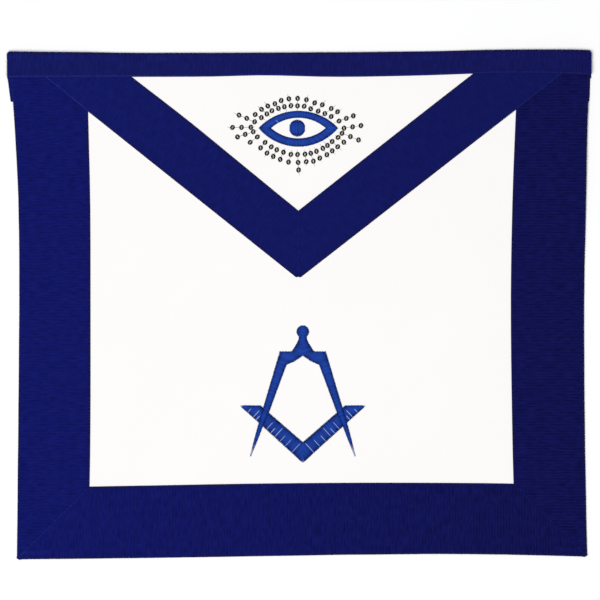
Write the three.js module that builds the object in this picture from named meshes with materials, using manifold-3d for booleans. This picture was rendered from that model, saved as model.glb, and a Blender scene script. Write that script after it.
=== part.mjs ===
import * as THREE from "three";
import { mergeVertices } from "three/addons/utils/BufferGeometryUtils.js";
import Module from "manifold-3d";

// A leather lodge apron lying face up: millimetres, waistband towards +Y, floor at z = 0.
// Every piece is a sheet that rests on the sheets below it, so its height at each
// place is worked out from theirs.

const wasm = await Module();
wasm.setup();

// Body and its border ribbon
const apronHeight = 358.3;
const bodyWidth = 404;
const bodyAside = 1.8;
const borderWidth = 50.8;
const turnUnder = 7;

// Waistband, one ribbon folded over the top edge
const bandOverhang = 7.5;
const bandLength = bodyWidth + 2 * bandOverhang;
const bandFront = 16.8;
const bandBack = 35;

// Triangular flap and its ribbon
const flapDrop = 161.7;
const flapTipAside = -0.6;
const flapTipWidth = 3.6;
const flapOverhang = 3.2;
const flapShoulder = 3;
const flapRibbonWidth = 38.1;

// Sheet thicknesses, and the clearance between sheets that lie on each other
const leather = 1.2;
const ribbon = 1;
const padding = 1;
const gap = 0.3;

// How gently a sheet climbs over the edge of the one below it, and how far before
// that edge it has finished climbing
const climb = 12;
const shelf = 1;

// Embroidered eye on the flap
const eyeWidth = 56.6;
const eyeUpper = 12.2;
const eyeLower = 13.1;
const eyeOpeningWidth = 39.6;
const eyeOpeningHeight = 15.2;
const eyeBelowFold = 53.8;
const pupilRadius = 5.6;
const pupilAside = -0.8;

// Embroidered square and compasses on the body. Their middle lies at a share of the way
// from the flap's tip to the bottom border.
const figureAside = 2.6;
const figureShare = 0.565;
const compassesHeight = 93.8;
const compassesSpread = 75.8;
const knobRadius = 4.4;
const squareBelowKnob = 57.3;
const squareWidth = 89.9;
const squareDepth = 40.9;
const squareArmTop = 14.7;
const squareArmRoot = 14.6;
const legShelf = 2;
const legClimb = 8;

// How far the figure's two tools lie below the waistband's fold
const figureRoom = apronHeight - borderWidth - flapDrop;
const figureHeight = squareBelowKnob + squareDepth;
const compassesBelowFold = flapDrop + figureShare * figureRoom - figureHeight / 2;
const squareBelowFold = compassesBelowFold + squareBelowKnob;

// Straight lines that the bowed edges follow
const foldLine = apronHeight / 2;
const hemLine = -apronHeight / 2;
const leftLine = bodyAside - bodyWidth / 2;
const rightLine = bodyAside + bodyWidth / 2;

// How far the side edges bow outwards, in shares of the border's width.
// up is the share of the way from the bottom edge to the fold.
const sideBows = [
  { up: 0, leftOuter: 0.033, leftInner: 0.024, rightOuter: 0.041, rightInner: 0.03 },
  { up: 0.25, leftOuter: 0.016, leftInner: 0.002, rightOuter: 0.01, rightInner: -0.01 },
  { up: 0.5, leftOuter: 0.002, leftInner: 0, rightOuter: 0, rightInner: -0.03 },
  { up: 0.7, leftOuter: 0.012, leftInner: 0.004, rightOuter: 0.026, rightInner: -0.008 },
  { up: 0.85, leftOuter: 0.065, leftInner: 0.028, rightOuter: 0.045, rightInner: 0.031 },
  { up: 1, leftOuter: 0.132, leftInner: 0.055, rightOuter: 0.085, rightInner: 0.079 },
];

// How far the bottom edge bows down, in shares of the border's width.
// along is the share of the way from the left side to the right one.
const hemBows = [
  { along: 0, outer: 0.078, inner: 0.067 },
  { along: 0.2, outer: 0.062, inner: 0.045 },
  { along: 0.4, outer: 0.038, inner: 0.016 },
  { along: 0.6, outer: 0.012, inner: 0.002 },
  { along: 0.8, outer: 0.004, inner: 0.006 },
  { along: 1, outer: 0.038, inner: 0.024 },
];

// How far the waistband's fold and its front edge wander upwards, in shares of
// bandFront. along is the share of the way from its left end to its right one.
const bandBows = [
  { along: 0, fold: 0.06, front: -0.02 },
  { along: 0.12, fold: 0.03, front: -0.005 },
  { along: 0.22, fold: 0, front: 0.006 },
  { along: 0.35, fold: 0, front: 0.018 },
  { along: 0.44, fold: 0.006, front: 0.071 },
  { along: 0.56, fold: 0.024, front: 0.006 },
  { along: 0.7, fold: 0.06, front: 0.06 },
  { along: 0.84, fold: 0.131, front: 0.17 },
  { along: 0.95, fold: 0.143, front: 0.15 },
  { along: 1, fold: 0.113, front: 0.09 },
];

// How far the waistband's ends are tucked in below the fold, in shares of bandBack.
// down is the share of the way from the fold to the back leg's edge.
const bandTucks = [
  { down: 0, left: 0, right: 0 },
  { down: 0.46, left: 0.022, right: 0 },
  { down: 0.5, left: 0.034, right: 0.05 },
  { down: 1, left: 0.096, right: 0.06 },
];

// How far the flap ribbon's inner edge bows inwards, in shares of the ribbon's width.
// up is the share of the way from the flap's tip to its corner.
const flapBows = [
  { up: 0, left: 0, right: 0 },
  { up: 0.3, left: 0, right: 0 },
  { up: 0.5, left: 0.016, right: 0.008 },
  { up: 0.7, left: 0.032, right: 0.014 },
  { up: 0.86, left: 0.016, right: 0.014 },
  { up: 1, left: 0, right: 0.01 },
];

// Places where the cloth stands off the floor. across and up are shares of half the
// body's width and of half the apron's height from its middle, and so are the reaches.
// rise is a share of the highest lift.
const highestLift = 2.6;
const lifts = [
  { across: 1.06, up: 0.6, reachAcross: 0.34, reachUp: 0.5, rise: 1 },
  { across: -0.12, up: 1.05, reachAcross: 0.62, reachUp: 0.34, rise: 0.7 },
  { across: -1.06, up: 1.02, reachAcross: 0.3, reachUp: 0.4, rise: 0.6 },
  { across: 0.48, up: -1.06, reachAcross: 0.5, reachUp: 0.34, rise: 0.75 },
];

// Outline of one half of the compasses. half is a share of half their spread, and
// down is a share of their height.
const compassesHalf = [
  { name: "neck", half: 0.073, down: 0.105 },
  { name: "under neck", half: 0.105, down: 0.134 },
  { name: "flare", half: 0.208, down: 0.198 },
  { name: "shoulder", half: 0.433, down: 0.198 },
  { name: "calf", half: 0.833, down: 0.751 },
  { name: "point outside", half: 1, down: 1 },
  { name: "point inside", half: 0.98, down: 1 },
  { name: "ankle", half: 0.766, down: 0.775 },
  { name: "knee", half: 0.648, down: 0.666 },
  { name: "armpit", half: 0.311, down: 0.3 },
  { name: "arch", half: 0.15, down: 0.272 },
];
const archDown = 0.23;

// Smooth value of one column of a table at a place along it
function read(table, placeColumn, column, place) {
  let i = 0;
  while (i < table.length - 2 && table[i + 1][placeColumn] < place) {
    i += 1;
  }
  const [before, start, end, after] = [-1, 0, 1, 2].map(
    (step) => table[THREE.MathUtils.clamp(i + step, 0, table.length - 1)],
  );
  const span = end[placeColumn] - start[placeColumn];
  const slope = (a, b) => (b[column] - a[column]) / (b[placeColumn] - a[placeColumn]);
  const t = (place - start[placeColumn]) / span;
  if (t < 0 || t > 1) {
    const near = t < 0 ? start : end;
    return near[column] + slope(start, end) * (place - near[placeColumn]);
  }
  const startSlope = before === start ? slope(start, end) : slope(before, end);
  const endSlope = after === end ? slope(start, end) : slope(start, after);
  const h = [2 * t ** 3 - 3 * t ** 2 + 1, t ** 3 - 2 * t ** 2 + t, 3 * t ** 2 - 2 * t ** 3, t ** 3 - t ** 2];
  return h[0] * start[column] + h[1] * span * startSlope + h[2] * end[column] + h[3] * span * endSlope;
}

// The bowed edges: the sides give x at each y, and the others y at each x
const share = (value, from, to) => (value - from) / (to - from);
const sideBow = (column, y) => borderWidth * read(sideBows, "up", column, share(y, hemLine, foldLine));
const hemBow = (column, x) => borderWidth * read(hemBows, "along", column, share(x, leftLine, rightLine));
const bandBow = (column, x) =>
  bandFront * read(bandBows, "along", column, share(x, -bandLength / 2, bandLength / 2));
const leftOuter = (y) => leftLine - sideBow("leftOuter", y);
const leftInner = (y) => leftLine + borderWidth - sideBow("leftInner", y);
const rightOuter = (y) => rightLine + sideBow("rightOuter", y);
const rightInner = (y) => rightLine - borderWidth + sideBow("rightInner", y);
const hemOuter = (x) => hemLine - hemBow("outer", x);
const hemInner = (x) => hemLine + borderWidth - hemBow("inner", x);
const bandFold = (x) => foldLine + bandBow("fold", x);
const bandEdge = (x) => foldLine - bandFront + bandBow("front", x);
const backEdge = foldLine - bandBack;

// The flap's slanting edges run from the body's top corners to its tip
const flapLeftCorner = new THREE.Vector2(leftLine - flapOverhang, foldLine);
const flapRightCorner = new THREE.Vector2(rightLine + flapOverhang, foldLine);
const flapPoint = new THREE.Vector2(flapTipAside, foldLine - flapDrop);

// How far above the flap's slanting edges the ribbon's inner edges lie, before they bow.
// It is the left side's on both sides, so that the two halves meet at the seam.
const flapLeftEdge = flapPoint.clone().sub(flapLeftCorner);
const flapRise = (flapRibbonWidth * flapLeftEdge.length()) / flapLeftEdge.x;

// Where the flap ribbon's inner edge crosses a height, on the side of one corner
function flapInner(corner, y) {
  const bow = read(flapBows, "up", corner.x < 0 ? "left" : "right", share(y, flapPoint.y, corner.y));
  const edge = flapPoint.clone().sub(corner);
  return corner.x + (edge.x * (y - flapRise * (1 + bow) - corner.y)) / edge.y;
}

// How far a climb has come: 0 before it starts and 1 where it is over
function climbed(distance, from, to) {
  return THREE.MathUtils.clamp(share(distance, from, to), 0, 1);
}

// The lines at which climbs start and end
const turnShelf = turnUnder + shelf;
const backShelf = backEdge - shelf;
const innerBows = sideBows.flatMap((row) => [row.leftInner, row.rightInner]);
const borderShelf = borderWidth * (1 - Math.min(...innerBows)) + shelf;
const bandLow = foldLine - bandFront;
const leftRibbonShelf = flapInner(flapLeftCorner, bandLow) + shelf;
const rightRibbonShelf = flapInner(flapRightCorner, bandLow) - shelf;
const leftShoulder = leftLine + flapShoulder;
const rightShoulder = rightLine - flapShoulder;

// Heights of the undersides of the sheets, from the floor up
function bell(distance, reach) {
  return Math.abs(distance) < reach ? Math.cos((Math.PI * distance) / reach / 2) ** 2 : 0;
}

function backHeight(x, y) {
  return lifts.reduce((sum, lift) => {
    const across = (x - bodyAside) / (bodyWidth / 2) - lift.across;
    const up = y / (apronHeight / 2) - lift.up;
    return sum + highestLift * lift.rise * bell(across, lift.reachAcross) * bell(up, lift.reachUp);
  }, 0);
}

function turnHeight(x, y) {
  return backHeight(x, y) + (ribbon + gap) * climbed(y, backShelf - climb, backShelf);
}

function panelHeight(x, y) {
  const inward = Math.min(x - leftLine, rightLine - x, y - hemLine);
  return turnHeight(x, y) + (ribbon + gap) * climbed(inward, turnShelf + climb, turnShelf);
}

function borderHeight(x, y) {
  return panelHeight(x, y) + leather + gap;
}

function flapHeight(x, y) {
  const inward = Math.min(x - leftLine, rightLine - x);
  return borderHeight(x, y) + (ribbon + gap) * climbed(inward, borderShelf + climb, borderShelf);
}

function flapRibbonHeight(x, y) {
  return flapHeight(x, y) + leather + gap;
}

function bandHeight(x, y) {
  const ribbonUnder =
    climbed(x, leftRibbonShelf + climb, leftRibbonShelf) +
    climbed(x, rightRibbonShelf - climb, rightRibbonShelf);
  const pastFlap =
    climbed(x, leftShoulder - shelf, -bandLength / 2) + climbed(x, rightShoulder + shelf, bandLength / 2);
  const flapStack = leather + gap + ribbon + gap;
  return flapRibbonHeight(x, y) + (ribbon + gap) * ribbonUnder - flapStack * pastFlap;
}

// Bend lines that all sheets share, so that they stay parallel between them
function evenly(from, to, count) {
  return Array.from({ length: count + 1 }, (_, i) => THREE.MathUtils.lerp(from, to, i / count));
}

function sorted(values) {
  return [...values].sort((a, b) => a - b).filter((value, i, all) => i === 0 || value - all[i - 1] > 0.05);
}

const margin = 6;
const middleStrips = 6;
const borderStrips = 2;
const bodyStrips = 12;
const acrossLines = sorted([
  -bandLength / 2 - margin,
  -bandLength / 2,
  leftShoulder - shelf,
  leftLine + turnShelf,
  leftLine + turnShelf + climb,
  leftLine + borderShelf,
  leftLine + borderShelf + climb,
  leftRibbonShelf,
  leftRibbonShelf + climb,
  ...evenly(leftRibbonShelf + climb, rightRibbonShelf - climb, middleStrips),
  rightRibbonShelf,
  rightLine - borderShelf - climb,
  rightLine - borderShelf,
  ...evenly(rightLine - borderShelf, rightLine - turnShelf - climb, borderStrips),
  rightLine - turnShelf,
  rightShoulder + shelf,
  bandLength / 2,
  bandLength / 2 + margin,
]);
const upLines = sorted([
  hemLine - margin,
  hemLine,
  hemLine + turnShelf,
  hemLine + turnShelf + climb,
  ...evenly(hemLine + turnShelf + climb, backShelf - climb, bodyStrips),
  backShelf,
  bandLow,
  foldLine,
  foldLine + margin,
]);

// Solid between two heights over the part of the net of bend lines within some bounds
function block(bottom, top, bounds, moreUpLines) {
  const within = (lines, low, high) =>
    lines.filter((_, i) => (lines[i + 1] ?? Infinity) > low && (lines[i - 1] ?? -Infinity) < high);
  const xs = within(acrossLines, bounds.min.x, bounds.max.x);
  const ys = within(sorted([...upLines, ...moreUpLines]), bounds.min.y, bounds.max.y);
  const positions = [];
  for (const height of [bottom, top]) {
    for (const y of ys) {
      for (const x of xs) {
        positions.push(x, y, height(x, y));
      }
    }
  }
  const index = (layer, row, column) => (layer * ys.length + row) * xs.length + column;
  const triangles = [];
  const quad = (a, b, c, d) => triangles.push(a, b, c, a, c, d);
  for (let row = 0; row < ys.length - 1; row += 1) {
    for (let column = 0; column < xs.length - 1; column += 1) {
      const leansRight = (xs[column] + xs[column + 1]) * (ys[row] + ys[row + 1]) > 0;
      const corner = [
        [row, column],
        [row, column + 1],
        [row + 1, column + 1],
        [row + 1, column],
      ];
      const turn = leansRight ? 0 : 1;
      const ring = [0, 1, 2, 3].map((i) => corner[(i + turn) % 4]);
      quad(...ring.map(([r, c]) => index(1, r, c)));
      quad(...[0, 3, 2, 1].map((i) => index(0, ...ring[i])));
    }
  }
  const lastRow = ys.length - 1;
  const lastColumn = xs.length - 1;
  for (let column = 0; column < lastColumn; column += 1) {
    quad(index(0, 0, column), index(0, 0, column + 1), index(1, 0, column + 1), index(1, 0, column));
    quad(
      index(0, lastRow, column + 1),
      index(0, lastRow, column),
      index(1, lastRow, column),
      index(1, lastRow, column + 1),
    );
  }
  for (let row = 0; row < lastRow; row += 1) {
    quad(index(0, row + 1, 0), index(0, row, 0), index(1, row, 0), index(1, row + 1, 0));
    quad(
      index(0, row, lastColumn),
      index(0, row + 1, lastColumn),
      index(1, row + 1, lastColumn),
      index(1, row, lastColumn),
    );
  }
  const geometry = new THREE.BufferGeometry();
  geometry.setAttribute("position", new THREE.Float32BufferAttribute(positions, 3));
  geometry.setIndex(triangles);
  return solid(geometry);
}

function solid(geometry) {
  const bare = geometry.clone();
  bare.deleteAttribute("normal");
  bare.deleteAttribute("uv");
  const merged = mergeVertices(bare, 1e-4);
  return new wasm.Manifold(
    new wasm.Mesh({
      numProp: 3,
      vertProperties: Float32Array.from(merged.attributes.position.array),
      triVerts: Uint32Array.from(merged.index.array),
    }),
  );
}

// Upright solid over an outline, taller than anything that it cuts
const cutterHeight = 80;

function cutter(outline, holes = []) {
  const shape = new THREE.Shape(outline);
  shape.holes = holes.map((hole) => new THREE.Path(hole));
  const geometry = new THREE.ExtrudeGeometry(shape, { depth: cutterHeight, bevelEnabled: false });
  geometry.translate(0, 0, -cutterHeight / 2);
  return solid(geometry);
}

// Sheet between two heights, cut to its outline
function sheet(outline, bottom, top, { holes = [], moreUpLines = [] } = {}) {
  const bounds = new THREE.Box2().setFromPoints(outline);
  return block(bottom, top, bounds, moreUpLines).intersect(cutter(outline, holes));
}

// Height function raised by a fixed amount
function above(height, rise) {
  return (x, y) => height(x, y) + rise;
}

const point = (x, y) => new THREE.Vector2(x, y);

// Points along an edge that is given as its x at each y, or as its y at each x
function upEdge(edge, from, to, count) {
  return evenly(from, to, count).map((y) => point(edge(y), y));
}

function acrossEdge(edge, from, to, count) {
  return evenly(from, to, count).map((x) => point(x, edge(x)));
}

// Corner where an upright edge meets a level one
function cornerOf(upright, level, startX) {
  let corner = point(startX, level(startX));
  for (let i = 0; i < 4; i += 1) {
    corner = point(upright(corner.y), level(upright(corner.y)));
  }
  return corner;
}

const edgeSteps = 14;
const arcSteps = 16;
const outerLeftCorner = cornerOf(leftOuter, hemOuter, leftLine);
const outerRightCorner = cornerOf(rightOuter, hemOuter, rightLine);
const innerLeftCorner = cornerOf(leftInner, hemInner, leftLine + borderWidth);
const innerRightCorner = cornerOf(rightInner, hemInner, rightLine - borderWidth);

// The body's outline moved inwards by an inset, with its top edge at a given height
function bodyOutline(inset, topEdge) {
  const left = (y) => leftOuter(y) + inset;
  const right = (y) => rightOuter(y) - inset;
  const hem = (x) => hemOuter(x) + inset;
  const bottomLeft = cornerOf(left, hem, leftLine);
  const bottomRight = cornerOf(right, hem, rightLine);
  const topLeft = cornerOf(left, topEdge, leftLine);
  const topRight = cornerOf(right, topEdge, rightLine);
  return [
    ...acrossEdge(hem, bottomLeft.x, bottomRight.x, edgeSteps).slice(0, -1),
    ...upEdge(right, bottomRight.y, topRight.y, edgeSteps).slice(0, -1),
    ...acrossEdge(topEdge, topRight.x, topLeft.x, edgeSteps).slice(0, -1),
    ...upEdge(left, topLeft.y, bottomLeft.y, edgeSteps).slice(0, -1),
  ];
}

const underFold = (x) => bandFold(x) - ribbon - gap;

// White leather body
function panel() {
  return sheet(bodyOutline(ribbon + gap, underFold), panelHeight, above(panelHeight, leather));
}

// Ribbon border that covers the body's face along one edge and turns under it
function border(outline) {
  const outside = sheet(outline, turnHeight, above(borderHeight, ribbon));
  const beyondFold = (x) => bandFold(x) + margin;
  const pocketOutline = bodyOutline(ribbon, beyondFold);
  const pocket = sheet(pocketOutline, above(panelHeight, -gap), borderHeight);
  const openBack = sheet(
    [
      point(leftLine + turnUnder, hemLine + turnUnder),
      point(rightLine - turnUnder, hemLine + turnUnder),
      point(rightLine - turnUnder, foldLine + margin / 2),
      point(leftLine + turnUnder, foldLine + margin / 2),
    ],
    () => -cutterHeight / 4,
    panelHeight,
  );
  return outside.subtract(pocket).subtract(openBack);
}

// The mitred seams between the borders, half a gap either side of the diagonal
const seam = gap / 2 / Math.SQRT2;
const aboveSeam = (corner, side) => corner.clone().add(point(side * seam, seam));
const belowSeam = (corner, side) => corner.clone().add(point(-side * seam, -seam));

function sideBorder(outer, inner, outerCorner, innerCorner, side) {
  const bottomOuter = aboveSeam(outerCorner, side);
  const bottomInner = aboveSeam(innerCorner, side);
  const topOuter = cornerOf(outer, underFold, outerCorner.x);
  const topInner = cornerOf(inner, underFold, innerCorner.x);
  return border([
    bottomOuter,
    ...upEdge(outer, bottomOuter.y, topOuter.y, edgeSteps).slice(1),
    ...upEdge(inner, topInner.y, bottomInner.y, edgeSteps).slice(0, -1),
    bottomInner,
  ]);
}

function bottomBorder() {
  const outerLeft = belowSeam(outerLeftCorner, -1);
  const outerRight = belowSeam(outerRightCorner, 1);
  const innerLeft = belowSeam(innerLeftCorner, -1);
  const innerRight = belowSeam(innerRightCorner, 1);
  return border([
    outerLeft,
    ...acrossEdge(hemOuter, outerLeft.x, outerRight.x, edgeSteps).slice(1, -1),
    outerRight,
    innerRight,
    ...acrossEdge(hemInner, innerRight.x, innerLeft.x, edgeSteps).slice(1, -1),
    innerLeft,
  ]);
}

// Point at x on the line from one of the flap's corners to its point
function flapEdgeAt(corner, x) {
  return point(x, corner.y + ((x - corner.x) * (flapPoint.y - corner.y)) / (flapPoint.x - corner.x));
}

// White leather flap with its blunt tip
function flap() {
  return sheet(
    [
      flapEdgeAt(flapLeftCorner, flapPoint.x - flapTipWidth / 2),
      flapEdgeAt(flapRightCorner, flapPoint.x + flapTipWidth / 2),
      flapEdgeAt(flapRightCorner, rightShoulder),
      ...acrossEdge(underFold, rightShoulder, leftShoulder, edgeSteps),
      flapEdgeAt(flapLeftCorner, leftShoulder),
    ],
    flapHeight,
    above(flapHeight, leather),
  );
}

// Half of the flap's ribbon, mitred at the middle and running up under the waistband
function flapBinding(corner, side) {
  const middle = flapPoint.x + (side * gap) / 2;
  const shoulder = side < 0 ? leftShoulder : rightShoulder;
  const innerAt = (y) => flapInner(corner, y);
  const topInner = cornerOf(innerAt, underFold, corner.x / 2);
  const innerMiddle = point(middle, flapEdgeAt(corner, middle).y + flapRise);
  const outline = [
    point(middle, flapEdgeAt(corner, flapPoint.x + (side * flapTipWidth) / 2).y),
    flapEdgeAt(corner, flapPoint.x + (side * flapTipWidth) / 2),
    flapEdgeAt(corner, shoulder),
    ...acrossEdge(underFold, shoulder, topInner.x, edgeSteps / 2),
    ...upEdge(innerAt, topInner.y, innerMiddle.y, edgeSteps).slice(1, -1),
    innerMiddle,
  ];
  return sheet(outline, flapRibbonHeight, above(flapRibbonHeight, ribbon));
}

// Waistband: a back leg under the apron, the fold over its top edge and a front leg
function waistband() {
  const end = (side, row) =>
    point(side * (bandLength / 2 - bandBack * row[side < 0 ? "left" : "right"]), foldLine - bandBack * row.down);
  const below = bandTucks.slice(1);
  const outline = [
    ...acrossEdge(bandFold, bandLength / 2, -bandLength / 2, 2 * edgeSteps),
    ...below.map((row) => end(-1, row)),
    ...[...below].reverse().map((row) => end(1, row)),
  ];
  const past = bandLength / 2 + margin / 2;
  const under = (edge) => [
    ...acrossEdge(edge, past, -past, 2 * edgeSteps),
    point(-past, backEdge - margin),
    point(past, backEdge - margin),
  ];
  const outside = sheet(outline, backHeight, above(bandHeight, ribbon));
  const inside = sheet(under((x) => bandFold(x) - ribbon), above(backHeight, ribbon), bandHeight);
  const openFront = sheet(under(bandEdge), above(backHeight, ribbon), () => cutterHeight / 4);
  return outside.subtract(inside).subtract(openFront);
}

// Lens between two arcs over the same chord, given its half width and two heights
function lens(centre, halfWidth, upper, lower) {
  const arc = (height, from, to) => {
    const radius = (halfWidth ** 2 + height ** 2) / (2 * Math.abs(height));
    const middle = centre.y + height - Math.sign(height) * radius;
    return acrossEdge(
      (x) => middle + Math.sign(height) * Math.sqrt(Math.max(radius ** 2 - (x - centre.x) ** 2, 0)),
      centre.x + from * halfWidth,
      centre.x + to * halfWidth,
      arcSteps,
    ).slice(0, -1);
  };
  return [...arc(-lower, -1, 1), ...arc(upper, 1, -1)];
}

const eyeCentre = point(flapPoint.x, foldLine - eyeBelowFold);
const onFlap = above(flapHeight, leather + gap);

function eyeOutline() {
  const opening = lens(eyeCentre, eyeOpeningWidth / 2, eyeOpeningHeight / 2, eyeOpeningHeight / 2);
  const outline = lens(eyeCentre, eyeWidth / 2, eyeUpper, eyeLower);
  return sheet(outline, onFlap, above(onFlap, padding), { holes: [opening] });
}

function pupil() {
  const circle = new THREE.EllipseCurve(eyeCentre.x + pupilAside, eyeCentre.y, pupilRadius, pupilRadius);
  return sheet(circle.getPoints(arcSteps).slice(0, -1), onFlap, above(onFlap, padding));
}

function square() {
  const top = foldLine - squareBelowFold;
  const half = squareWidth / 2;
  return sheet(
    [
      point(figureAside - half, top),
      point(figureAside, top - squareDepth),
      point(figureAside + half, top),
      point(figureAside + half - squareArmTop, top),
      point(figureAside, top - squareDepth + squareArmRoot),
      point(figureAside - half + squareArmTop, top),
    ],
    borderHeight,
    above(borderHeight, padding),
  );
}

// The compasses' legs climb over the square's arms and come down past them
function compasses() {
  const top = foldLine - compassesBelowFold;
  const squareTop = foldLine - squareBelowFold;
  const ankle = compassesHalf.find((row) => row.name === "ankle");
  const armDrop = squareDepth * (1 - (ankle.half * compassesSpread) / squareWidth);
  const overFrom = squareTop + legShelf;
  const overTo = squareTop - armDrop - legShelf;
  const underLegs = (x, y) =>
    borderHeight(x, y) +
    (padding + gap) * climbed(y, overFrom + legClimb, overFrom) * climbed(y, overTo - legClimb, overTo);
  const knob = point(figureAside, top - knobRadius);
  const half = (side) =>
    compassesHalf.map((row) =>
      point(figureAside + (side * row.half * compassesSpread) / 2, top - row.down * compassesHeight),
    );
  const right = half(1);
  const left = half(-1).reverse();
  const neckAngle = Math.acos((right[0].x - figureAside) / knobRadius);
  const knobArc = new THREE.EllipseCurve(
    knob.x,
    knob.y,
    knobRadius,
    knobRadius,
    -neckAngle,
    Math.PI + neckAngle,
  );
  const outline = [
    ...knobArc.getPoints(arcSteps).reverse(),
    ...right,
    point(figureAside, top - archDown * compassesHeight),
    ...left,
  ];
  return sheet(outline, underLegs, above(underLegs, padding), {
    moreUpLines: [overFrom + legClimb, overFrom, overTo, overTo - legClimb],
  });
}

const whiteLeather = { color: 0xfbfaf8, roughness: 0.6, metalness: 0 };
const navyRibbon = { color: 0x121860, roughness: 0.75, metalness: 0 };
const royalThread = { color: 0x1c3a94, roughness: 0.5, metalness: 0 };

function piece(name, form, finish) {
  const { vertProperties, triVerts } = form.getMesh();
  const geometry = new THREE.BufferGeometry();
  geometry.setAttribute("position", new THREE.Float32BufferAttribute(vertProperties, 3));
  geometry.setIndex(Array.from(triVerts));
  const mesh = new THREE.Mesh(geometry.toNonIndexed(), new THREE.MeshStandardMaterial(finish));
  mesh.geometry.computeVertexNormals();
  mesh.name = name;
  return mesh;
}

const apron = new THREE.Group();
apron.add(
  piece("panel", panel(), whiteLeather),
  piece("border_left", sideBorder(leftOuter, leftInner, outerLeftCorner, innerLeftCorner, -1), navyRibbon),
  piece("border_right", sideBorder(rightOuter, rightInner, outerRightCorner, innerRightCorner, 1), navyRibbon),
  piece("border_bottom", bottomBorder(), navyRibbon),
  piece("flap", flap(), whiteLeather),
  piece("flap_ribbon_left", flapBinding(flapLeftCorner, -1), navyRibbon),
  piece("flap_ribbon_right", flapBinding(flapRightCorner, 1), navyRibbon),
  piece("waistband", waistband(), navyRibbon),
  piece("eye_outline", eyeOutline(), royalThread),
  piece("pupil", pupil(), royalThread),
  piece("square", square(), royalThread),
  piece("compasses", compasses(), royalThread),
);

// The origin is on the floor under the middle of the whole apron
const extent = new THREE.Box3().setFromObject(apron);
const middle = extent.getCenter(new THREE.Vector3());
apron.position.set(-middle.x, -middle.y, -extent.min.z);

export default apron;
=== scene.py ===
"""A leather lodge apron lying face up: ribbon borders, a ribboned flap, a folded waistband and embroidery.

Lengths are millimetres until a mesh is made, and the floor is at z = 0.
"""
import math

import bpy
import numpy as np
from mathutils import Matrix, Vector
from mathutils.bvhtree import BVHTree


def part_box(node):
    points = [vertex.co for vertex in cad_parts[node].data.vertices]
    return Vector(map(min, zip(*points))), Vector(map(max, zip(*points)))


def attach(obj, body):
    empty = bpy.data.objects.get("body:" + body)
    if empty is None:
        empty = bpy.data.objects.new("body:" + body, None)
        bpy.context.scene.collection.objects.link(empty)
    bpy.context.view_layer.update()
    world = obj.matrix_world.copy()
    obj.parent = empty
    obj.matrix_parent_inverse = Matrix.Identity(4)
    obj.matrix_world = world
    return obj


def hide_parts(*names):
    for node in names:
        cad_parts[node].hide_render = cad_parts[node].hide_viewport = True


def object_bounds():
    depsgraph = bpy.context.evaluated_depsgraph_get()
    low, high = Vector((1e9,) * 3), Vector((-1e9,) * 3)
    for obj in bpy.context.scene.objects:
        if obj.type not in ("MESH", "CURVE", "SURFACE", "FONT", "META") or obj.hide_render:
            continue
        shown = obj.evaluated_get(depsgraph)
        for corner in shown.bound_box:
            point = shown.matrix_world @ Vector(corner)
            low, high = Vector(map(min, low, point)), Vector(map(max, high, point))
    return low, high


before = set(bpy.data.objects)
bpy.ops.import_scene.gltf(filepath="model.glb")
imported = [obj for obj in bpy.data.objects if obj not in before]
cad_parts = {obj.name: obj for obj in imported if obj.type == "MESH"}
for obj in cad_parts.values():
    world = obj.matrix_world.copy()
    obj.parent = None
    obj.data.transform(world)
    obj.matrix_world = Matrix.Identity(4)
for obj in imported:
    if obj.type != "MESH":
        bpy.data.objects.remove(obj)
cad_low, cad_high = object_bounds()

MM = 0.001
APRON_WIDTH = (cad_high[0] - cad_low[0]) / MM

# Sheets, as in the model
LEATHER = 1.2
RIBBON = 1.0
TURN_UNDER = 7.0
BETWEEN_LEGS = 4.0  # a height between the waistband's two legs
SHORT_OF_FOLD = 1.5  # how far the covered sheets end below the waistband's fold

# Grosgrain: the real cords are about 1.3 mm apart, and are drawn coarse enough to show
CORD_PITCH = 2.15
CORD_DEPTH = 0.25
STEPS_PER_CORD = 6
EDGE_ROLL = 0.35  # how far the rounded edge of a ribbon stands out from its faces
EDGE_OUT = 0.14  # how far a folded ribbon's cut edge reaches past the model's
FLAT_INSET = 0.2  # how far inside the model's outline the mesh of a flat ribbon begins its roll
SELVEDGE = 0.4  # how far the waistband's woven edge stands out past the model's front leg
BAND_INSET = 0.4  # how far inside the model's ends the waistband ends
FOLD_DEPTH = 2.6  # how wide the pressed fold of a turned ribbon is
FOLD_SQUARENESS = 2.5
WORN_BORDER = 0.7  # radius to which the ends of a fold are worn round
WORN_BAND = 1.8
FOLD_HIGHLIGHT_AT = 4.6  # from a folded edge to the middle of the strip of painted highlight beside it
EDGE_DARKENED = 0.75  # how far in from its edges the painted shade of a ribbon reaches where it lies on leather
EDGE_LIGHTENED = 1.0  # the same for the painted highlight where it lies on another ribbon
ON_LEATHER = -0.9  # painted shade of an edge that lies on leather
ON_RIBBON = 0.75  # painted highlight of an edge that lies on another ribbon
FOLDED = -0.8  # painted shade of a folded edge
FOLD_HIGHLIGHT = 0.6  # painted highlight of the strip beside a fold
FOLD_HIGHLIGHT_WIDTH = 1.6
PAINTED_LIGHT_FALL = 0.55  # how much less painted light the apron's right side has than its left
VALLEY_TONE = 0.45  # painted shade in the valleys between the cords
FLAP_VALLEY_TONE = 0.7 * VALLEY_TONE
BAND_VALLEY_TONE = 0.75 * VALLEY_TONE
RIPPLE = 0.05  # slow unevenness of a ribbon's face
# Distances from a ribbon's edge to the lines of its mesh, which are close where the stitches and the roll are
FLAT_EDGE_LINES = (0, 0.5, 1.0, 1.5, 2.0, 2.5, 3.1, 3.9, 5.0)
FOLDED_EDGE_LINES = (0.0, 0.6, 1.1, 1.6, 2.0, 2.4, 2.9, 3.6, 5.0)

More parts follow.
